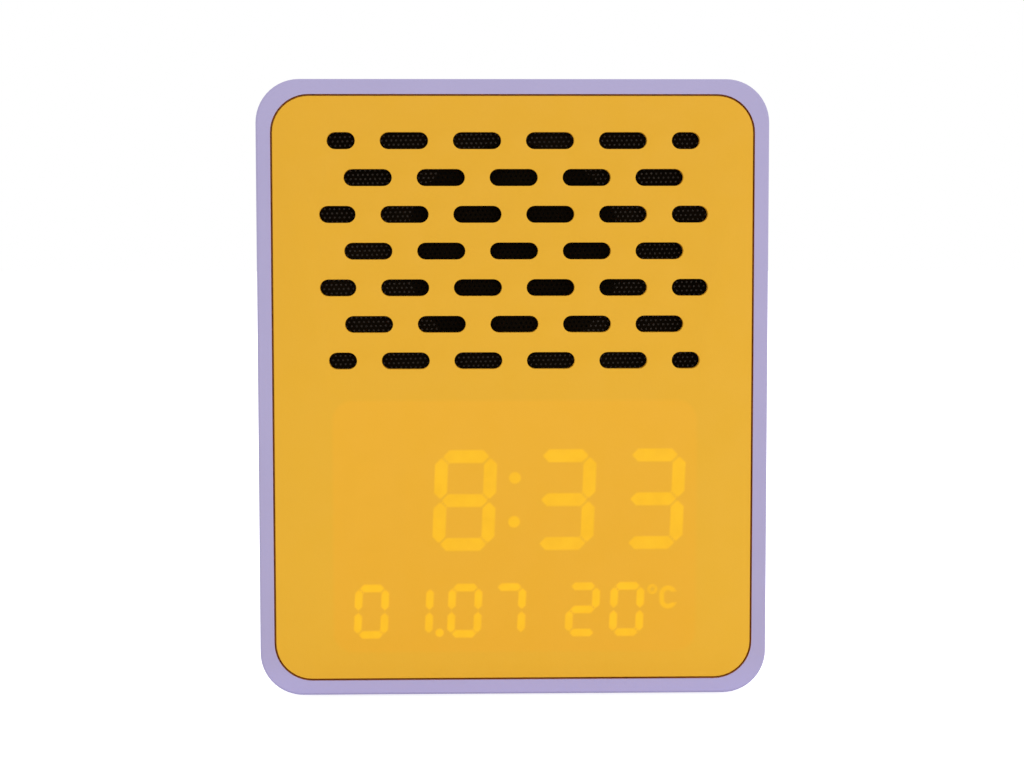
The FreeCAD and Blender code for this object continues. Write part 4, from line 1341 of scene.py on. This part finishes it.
@dataclass
class PerforatedSheet:
    """Black sheet with staggered six-sided holes behind the slots."""

    node: str = "speaker_mesh"
    sides: int = 6
    pitch: float = 0.9494
    hole_share: float = 0.44
    line_share: float = 1.5
    margin: float = 0.1
    relief: float = 0.04
    lean: float = 1.05
    shift: Flat = (0.15, -0.23)
    crease: float = 20.0
    weld: float = 0.001
    border_area: float = 3.0

    def build(self, material: bpy.types.Material) -> bpy.types.Object:
        """Grow the holes and add the plain border.

        Args:
            material: Finish of the sheet.

        Returns:
            The finished sheet.
        """
        low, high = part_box(self.node)
        width, height, gauge = high.x - low.x, high.z - low.z, high.y - low.y
        pitch = self.pitch * MM
        cell = pitch / math.sqrt(3)
        line = self.line_share * cell
        reach_x = width / 2 - pitch / 2 - self.margin * MM
        reach_z = height / 2 - cell - self.margin * MM
        # Both counts are odd, so one cell lies in the middle of the sheet.
        sizes = {
            "Columns": 2 * math.ceil(reach_x / pitch) + 3, "Rows": 4 * math.ceil(reach_z / (2 * line)) + 5,
            "Pitch": pitch, "Cell radius": cell, "Hole radius": cell * self.hole_share,
            "Gauge": gauge - 2 * self.relief * MM, "Lean": math.radians(self.lean),
            "Shift across": self.shift[0] * MM, "Shift upwards": self.shift[1] * MM,
            "Reach across": reach_x, "Reach upwards": reach_z,
            "Depth": (low.y + high.y) / 2, "Level": (low.z + high.z) / 2,
        }
        tree = GrowthTree("perforated sheet", sizes)
        inputs = {"Points": self.spots(tree), "Instance": self.cell(tree), "Selection": self.kept(tree)}
        cells = tree.add("GeometryNodeInstanceOnPoints", inputs).outputs["Instances"]
        turn = tree.vector(0.0, 0.0, tree.input("Lean"))
        cells = tree.move(cells, tree.vector(tree.input("Shift across"), tree.input("Shift upwards")), turn)
        where = tree.vector(0.0, tree.input("Depth"), tree.input("Level"))
        tree.finish(tree.move(cells, where, (math.pi / 2, 0, 0)), material)
        sheet = tree.grow("speaker_mesh_perforated", self.crease)
        self.frame(sheet, (2 * (reach_x - pitch / 2) / MM, 2 * (reach_z - line + cell / 2) / MM))
        return sheet

    def spots(self, tree: GrowthTree) -> Socket:
        """Stagger the middles of the cells, drawn flat and without lean.

        Args:
            tree: Tree of the sheet.

        Returns:
            Socket with the points.
        """
        across = tree.times(tree.step("SUBTRACT", tree.input("Columns"), 1), tree.input("Pitch"))
        step = tree.times(tree.input("Cell radius"), self.line_share)
        upwards = tree.times(tree.step("SUBTRACT", tree.input("Rows"), 1), step)
        grid = tree.add("GeometryNodeMeshGrid", {
            "Size X": across, "Size Y": upwards, "Vertices X": tree.input("Columns"),
            "Vertices Y": tree.input("Rows"),
        })
        index = tree.add("GeometryNodeInputIndex").outputs["Index"]
        row = tree.step("MODULO", index, tree.input("Rows"))
        odd = tree.step("SUBTRACT", tree.step("MODULO", row, 2.0), 0.5)
        shift = tree.times(odd, tree.input("Pitch"), 0.5)
        inputs = {"Geometry": grid.outputs["Mesh"], "Offset": tree.vector(shift)}
        return tree.add("GeometryNodeSetPosition", inputs).outputs["Geometry"]

    def kept(self, tree: GrowthTree) -> Socket:
        """Pick the cells that still lie inside the sheet once they lean.

        Args:
            tree: Tree of the sheet.

        Returns:
            Socket with 1 for each cell that is kept.
        """
        place = tree.add("GeometryNodeInputPosition").outputs["Position"]
        inputs = {"Vector": place, "Angle": tree.input("Lean")}
        turned = tree.add("ShaderNodeVectorRotate", inputs, rotation_type="Z_AXIS").outputs["Vector"]
        parts = tree.add("ShaderNodeSeparateXYZ", {0: turned})
        found = []
        for axis, word in (("X", "across"), ("Y", "upwards")):
            moved = tree.step("ADD", parts.outputs[axis], tree.input("Shift " + word))
            away = tree.step("ABSOLUTE", moved)
            found.append(tree.step("LESS_THAN", away, tree.input("Reach " + word)))
        return tree.times(*found)

    def cell(self, tree: GrowthTree) -> Socket:
        """Draw one six-sided cell: a ring on each side and the wall of its hole.

        Args:
            tree: Tree of the sheet.

        Returns:
            Socket with the cell.
        """
        common = {"Vertices": self.sides, "Side Segments": 1}
        half = tree.times(tree.input("Gauge"), 0.5)
        ring = tree.add("GeometryNodeMeshCone", {
            **common, "Radius Top": tree.input("Hole radius"),
            "Radius Bottom": tree.input("Cell radius"), "Depth": 0.0,
        }, fill_type="NONE").outputs["Mesh"]
        wall = tree.add("GeometryNodeMeshCylinder", {
            **common, "Radius": tree.input("Hole radius"), "Depth": tree.input("Gauge"),
        }, fill_type="NONE").outputs["Mesh"]
        front = tree.move(ring, tree.vector(0.0, 0.0, half))
        flipped = tree.add("GeometryNodeFlipFaces", {"Mesh": ring}).outputs["Mesh"]
        inner = tree.add("GeometryNodeFlipFaces", {"Mesh": wall}).outputs["Mesh"]
        shapes = [front, tree.move(flipped, tree.down(half)), inner]
        whole = tree.add("GeometryNodeJoinGeometry", {"Geometry": shapes}).outputs["Geometry"]
        merged = tree.add("GeometryNodeMergeByDistance", {"Geometry": whole, "Distance": self.weld * MM})
        return tree.move(merged.outputs["Geometry"], turn=(0, 0, math.pi / self.sides))

    def frame(self, sheet: bpy.types.Object, inner: Flat) -> None:
        """Add the plain border around the holes.

        Args:
            sheet: Sheet with the holes; it is changed.
            inner: Width and height of the border's opening in millimetres.
        """
        low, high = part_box(self.node)
        outer = ((high.x - low.x) / MM, (high.z - low.z) / MM)
        middle, front, back = (low.z + high.z) / 2 / MM, low.y / MM, high.y / MM
        shape = bmesh.new()
        shape.from_mesh(sheet.data)
        resize(shape, 1 / MM)
        rings = []
        for (wide, tall), depth in (
            (outer, front), (outer, back), (inner, back), (inner, front), (outer, front),
        ):
            corners = ((1, 1), (-1, 1), (-1, -1), (1, -1))
            rings.append([Vector((a * wide / 2, depth, middle + b * tall / 2)) for a, b in corners])
        ring_walls(shape, rings)

        def border() -> list[bmesh.types.BMFace]:
            """Faces of the border, which are far larger than any face of a cell."""
            return [face for face in shape.faces if face.calc_area() > self.border_area * self.pitch**2]

        seam = {corner for face in border() for corner in face.verts}
        bmesh.ops.remove_doubles(shape, verts=list(seam), dist=MERGE)
        bmesh.ops.recalc_face_normals(shape, faces=border())
        resize(shape, MM)
        shape.to_mesh(sheet.data)
        shape.free()


# Moulded pieces


@dataclass
class MouldedPart:
    """A piece whose edges are eased as a mould leaves them."""

    node: str
    slot: str
    body: str
    ease: float = 0.18
    steps: int = 2
    limit: float = 28.0
    flatness: float = 0.6
    crease: float = 40.0
    face_weight: int = 100

    def build(self) -> bpy.types.Object:
        """Copy the piece, merge its faces and ease its edges.

        Returns:
            The eased copy.
        """
        shape = bmesh.new()
        shape.from_mesh(bpy.data.objects[self.node].data)
        resize(shape, 1 / MM)
        bmesh.ops.remove_doubles(shape, verts=shape.verts, dist=MERGE)
        bend = math.radians(self.flatness)
        bmesh.ops.dissolve_limit(shape, angle_limit=bend, verts=shape.verts, edges=shape.edges)
        piece = finished_mesh(shape, self.node + "_moulded")
        modifier = piece.modifiers.new("ease", "BEVEL")
        modifier.width = self.ease * MM
        modifier.segments = self.steps
        modifier.limit_method = "ANGLE"
        modifier.angle_limit = math.radians(self.limit)
        modifier.use_clamp_overlap = True
        eased = placed(baked(piece), self.node + "_eased", self.crease)
        bpy.data.objects.remove(piece)
        weigh = eased.modifiers.new("flat faces", "WEIGHTED_NORMAL")
        weigh.weight = self.face_weight
        weigh.keep_sharp = True
        mesh = baked(eased)
        bpy.data.objects.remove(eased)
        return placed(mesh, self.node + "_moulded", None)


@dataclass
class CoverScrews:
    """The two flat-headed cross screws of the rear cover."""

    node: str = "cover_screws"
    head_radius: float = 2.4
    head_height: float = 0.55
    shank_radius: float = 1.0
    cross_length: float = 2.6
    cross_width: float = 0.78
    cross_depth: float = 0.9
    cone_height: float = 1.3
    head_sides: int = 40
    shank_sides: int = 24
    shank_share: float = 0.98
    cross_turn: float = 0.4

    def build(self, material: bpy.types.Material) -> bpy.types.Object:
        """Grow both screws from one.

        Args:
            material: Finish of the screws.

        Returns:
            Both screws as one piece.
        """
        low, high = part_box(self.node)
        inputs = {
            "Head radius": self.head_radius * MM, "Head height": self.head_height * MM,
            "Cone height": self.cone_height * MM, "Shank radius": self.shank_radius * MM,
            "Length": high.y - low.y, "Cross length": self.cross_length * MM,
            "Cross width": self.cross_width * MM, "Cross depth": self.cross_depth * MM,
            "Spacing": (high.x - low.x) - 2 * self.head_radius * MM,
            "Back": high.y, "Level": (low.z + high.z) / 2,
        }
        tree = GrowthTree("cross screws", inputs)
        inputs = {"Mesh 1": self.blank(tree), "Mesh 2": self.cross(tree)}
        cut = tree.add("GeometryNodeMeshBoolean", inputs, operation="DIFFERENCE", solver="EXACT")
        row = tree.add("GeometryNodeMeshLine", {
            "Count": 2, "Start Location": tree.vector(tree.times(tree.input("Spacing"), -0.5)),
            "Offset": tree.vector(tree.input("Spacing")),
        }, mode="OFFSET").outputs["Mesh"]
        screw = tree.move(cut.outputs["Mesh"], turn=(0, 0, self.cross_turn))
        pair = tree.add("GeometryNodeInstanceOnPoints", {"Points": row, "Instance": screw})
        where = tree.vector(0.0, tree.input("Back"), tree.input("Level"))
        tree.finish(tree.move(pair.outputs["Instances"], where, (-math.pi / 2, 0, 0)), material)
        return tree.grow("cover_screws_cross")

    def blank(self, tree: GrowthTree) -> Socket:
        """Grow one screw without its cross, its face at zero and its tip down.

        Args:
            tree: Tree of the screws.

        Returns:
            Socket with the screw.
        """
        height, radius = tree.input("Head height"), tree.input("Head radius")
        inputs = {"Vertices": self.head_sides, "Radius": radius, "Depth": height}
        head = tree.add("GeometryNodeMeshCylinder", inputs).outputs["Mesh"]
        cone = tree.add("GeometryNodeMeshCone", {
            "Vertices": self.head_sides, "Radius Top": radius,
            "Radius Bottom": tree.input("Shank radius"), "Depth": tree.input("Cone height"),
        }).outputs["Mesh"]
        shank = tree.add("GeometryNodeMeshCylinder", {
            "Vertices": self.shank_sides, "Radius": tree.input("Shank radius"), "Depth": tree.input("Length"),
        }).outputs["Mesh"]
        sunk = tree.step("ADD", height, tree.input("Cone height"))
        parts = [
            tree.move(head, tree.down(height, 0.5)),
            tree.move(cone, tree.down(sunk)),
            tree.move(shank, tree.down(tree.input("Length"), 0.5), scale=(1, 1, self.shank_share)),
        ]
        whole = tree.add("GeometryNodeMeshBoolean", {"Mesh 2": parts}, operation="UNION", solver="EXACT")
        return whole.outputs["Mesh"]

    def cross(self, tree: GrowthTree) -> list[Socket]:
        """Grow the two bars that cut the cross.

        Args:
            tree: Tree of the screws.

        Returns:
            Sockets with the bars.
        """
        deep = tree.times(tree.input("Cross depth"), 2.0)
        size = tree.vector(tree.input("Cross length"), tree.input("Cross width"), deep)
        bar = tree.add("GeometryNodeMeshCube", {"Size": size}).outputs["Mesh"]
        return [bar, tree.move(bar, turn=(0, 0, math.pi / 2))]


# Studio


@dataclass
class Studio:
    """Pale floor, plain light and the camera in front of the clock.

    The camera's stand is in millimetres, the lamp and the floor are in metres.
    """

    lens: float = 80.86
    sensor: float = 36.0
    clip: Flat = (0.01, 50.0)
    stand: Triple = (-12.2, -472.0, 97.0)
    pitch: float = -4.46
    yaw: float = 1.52
    roll: float = -0.05
    ambient: float = 0.88
    lamp_power: float = 3.0
    lamp_place: Triple = (0.5, -1.15, 0.35)
    lamp_aim: Triple = (0.0, 0.0, 0.06)
    lamp_size: float = 0.9
    floor_size: float = 6.0
    floor_tone: float = 0.86
    floor_roughness: float = 0.9

    def camera(self) -> None:
        """Place the camera where the photograph was taken from."""
        data = bpy.data.cameras.new("view")
        data.lens = self.lens
        data.sensor_width = self.sensor
        data.clip_start, data.clip_end = self.clip
        camera = bpy.data.objects.new("view", data)
        bpy.context.scene.collection.objects.link(camera)
        pitch, yaw = math.radians(self.pitch), math.radians(self.yaw)
        forward = Vector((math.sin(yaw) * math.cos(pitch), math.cos(yaw) * math.cos(pitch), math.sin(pitch)))
        turn = forward.to_track_quat("-Z", "Y").to_matrix().to_4x4()
        roll = Matrix.Rotation(math.radians(self.roll), 4, "Z")
        camera.matrix_world = Matrix.Translation(Vector(self.stand) * MM) @ turn @ roll
        bpy.context.scene.camera = camera

    def world(self) -> None:
        """Even white surroundings that the camera and reflections see as plain white."""
        world = bpy.data.worlds.new("surroundings")
        world.use_nodes = True
        tree = NodeTree(world.node_tree)
        tree.tree.nodes.clear()
        inputs = {"Value": tree.seen(), "To Min": self.ambient, "To Max": 1.0}
        strength = tree.add("ShaderNodeMapRange", inputs).outputs["Result"]
        back = tree.add("ShaderNodeBackground", {"Color": (1, 1, 1), "Strength": strength})
        tree.add("ShaderNodeOutputWorld", {"Surface": back.outputs["Background"]})
        bpy.context.scene.world = world

    def lamp(self) -> None:
        """One broad soft lamp behind the camera, above it and to its right."""
        data = bpy.data.lights.new("key", "AREA")
        data.shape = "SQUARE"
        data.size = self.lamp_size
        data.energy = self.lamp_power
        lamp = bpy.data.objects.new("key", data)
        bpy.context.scene.collection.objects.link(lamp)
        aim = (Vector(self.lamp_aim) - Vector(self.lamp_place)).to_track_quat("-Z", "Y")
        lamp.matrix_world = Matrix.Translation(self.lamp_place) @ aim.to_matrix().to_4x4()

    def floor(self) -> None:
        """White floor that still takes the clock's shadow."""
        tree = ShaderTree("floor_white")
        tree.set(
            Base_Color=(self.floor_tone,) * 3, Roughness=self.floor_roughness, Specular_IOR_Level=0.0,
            Emission_Color=(1, 1, 1), Emission_Strength=tree.times(tree.seen(), self.floor_tone),
        )
        half = self.floor_size / 2
        mesh = bpy.data.meshes.new("floor")
        corners = [(-half, -half, 0), (half, -half, 0), (half, half, 0), (-half, half, 0)]
        mesh.from_pydata(corners, [], [(0, 1, 2, 3)])
        floor = placed(mesh, "floor", None)
        floor.data.materials.append(tree.material)

    def build(self) -> None:
        """Set the whole studio up."""
        self.camera()
        self.world()
        self.lamp()
        self.floor()
        bpy.context.scene.view_settings.view_transform = "Standard"


# Assembly


@dataclass
class Clock:
    """The whole clock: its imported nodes, the pieces that stand for some of them, and their finishes."""

    frame: dict[str, Any]
    wardrobe: Wardrobe = field(default_factory=Wardrobe)
    moulded: tuple[MouldedPart, ...] = (
        MouldedPart("case_shell", "case", "case", ease=0.16),
        MouldedPart("rear_cover", "case", "case", ease=0.14),
        MouldedPart("battery_door", "door", "battery_door", ease=0.14),
        MouldedPart("talk_button", "talk", "talk_button", ease=0.3, steps=3),
        *(
            MouldedPart(key, "button", key, ease=0.22)
            for key in ("mode_button", "set_button", "plus_button", "minus_button", "volume_knob")
        ),
        *(MouldedPart(foot, "foot", "case", ease=0.2) for foot in ("foot_front", "foot_rear")),
        MouldedPart("power_socket", "socket", "case", ease=0.05),
    )

    def slot_of(self, node: str) -> str:
        """Look up the material slot that the record gives a node.

        Args:
            node: Name of the node.

        Returns:
            Name of the slot.
        """
        for piece in self.frame["record"]["subparts"]:
            if piece["node"] == node:
                return piece["material_slot"]
        raise KeyError(node)

    def adopt(self, piece: bpy.types.Object, node: str, slot: str, body: str) -> None:
        """Let a new piece stand for a node and ride with its body.

        Args:
            piece: The new piece.
            node: Node that it stands for.
            slot: Material slot of both.
            body: Body that carries them.
        """
        self.wardrobe.dress(piece, slot)
        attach(piece, body)
        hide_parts(node)
        LOG.info("%s stands for %s: %d faces", piece.name, node, len(piece.data.polygons))

    def build(self) -> None:
        """Build every new piece and dress every node."""
        mesh, screw = (self.wardrobe.material(slot) for slot in ("mesh", "screw"))
        self.adopt(FrontPlate().build(), "front_plate", "plate", "case")
        self.adopt(PerforatedSheet().build(mesh), "speaker_mesh", "mesh", "case")
        self.adopt(CoverScrews().build(screw), "cover_screws", "screw", "case")
        for part in self.moulded:
            self.adopt(part.build(), part.node, part.slot, part.body)
        for name, node in self.frame["nodes"].items():
            if not node.hide_render:
                slot = self.slot_of(name)
                self.wardrobe.dress(node, slot)
                LOG.info("%s wears %s", name, slot)


def main() -> None:
    """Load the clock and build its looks."""
    logging.basicConfig(level=logging.INFO, format="%(name)s %(message)s")
    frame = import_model()
    Clock(frame).build()
    Studio().build()


if __name__ == "__main__":
    main()
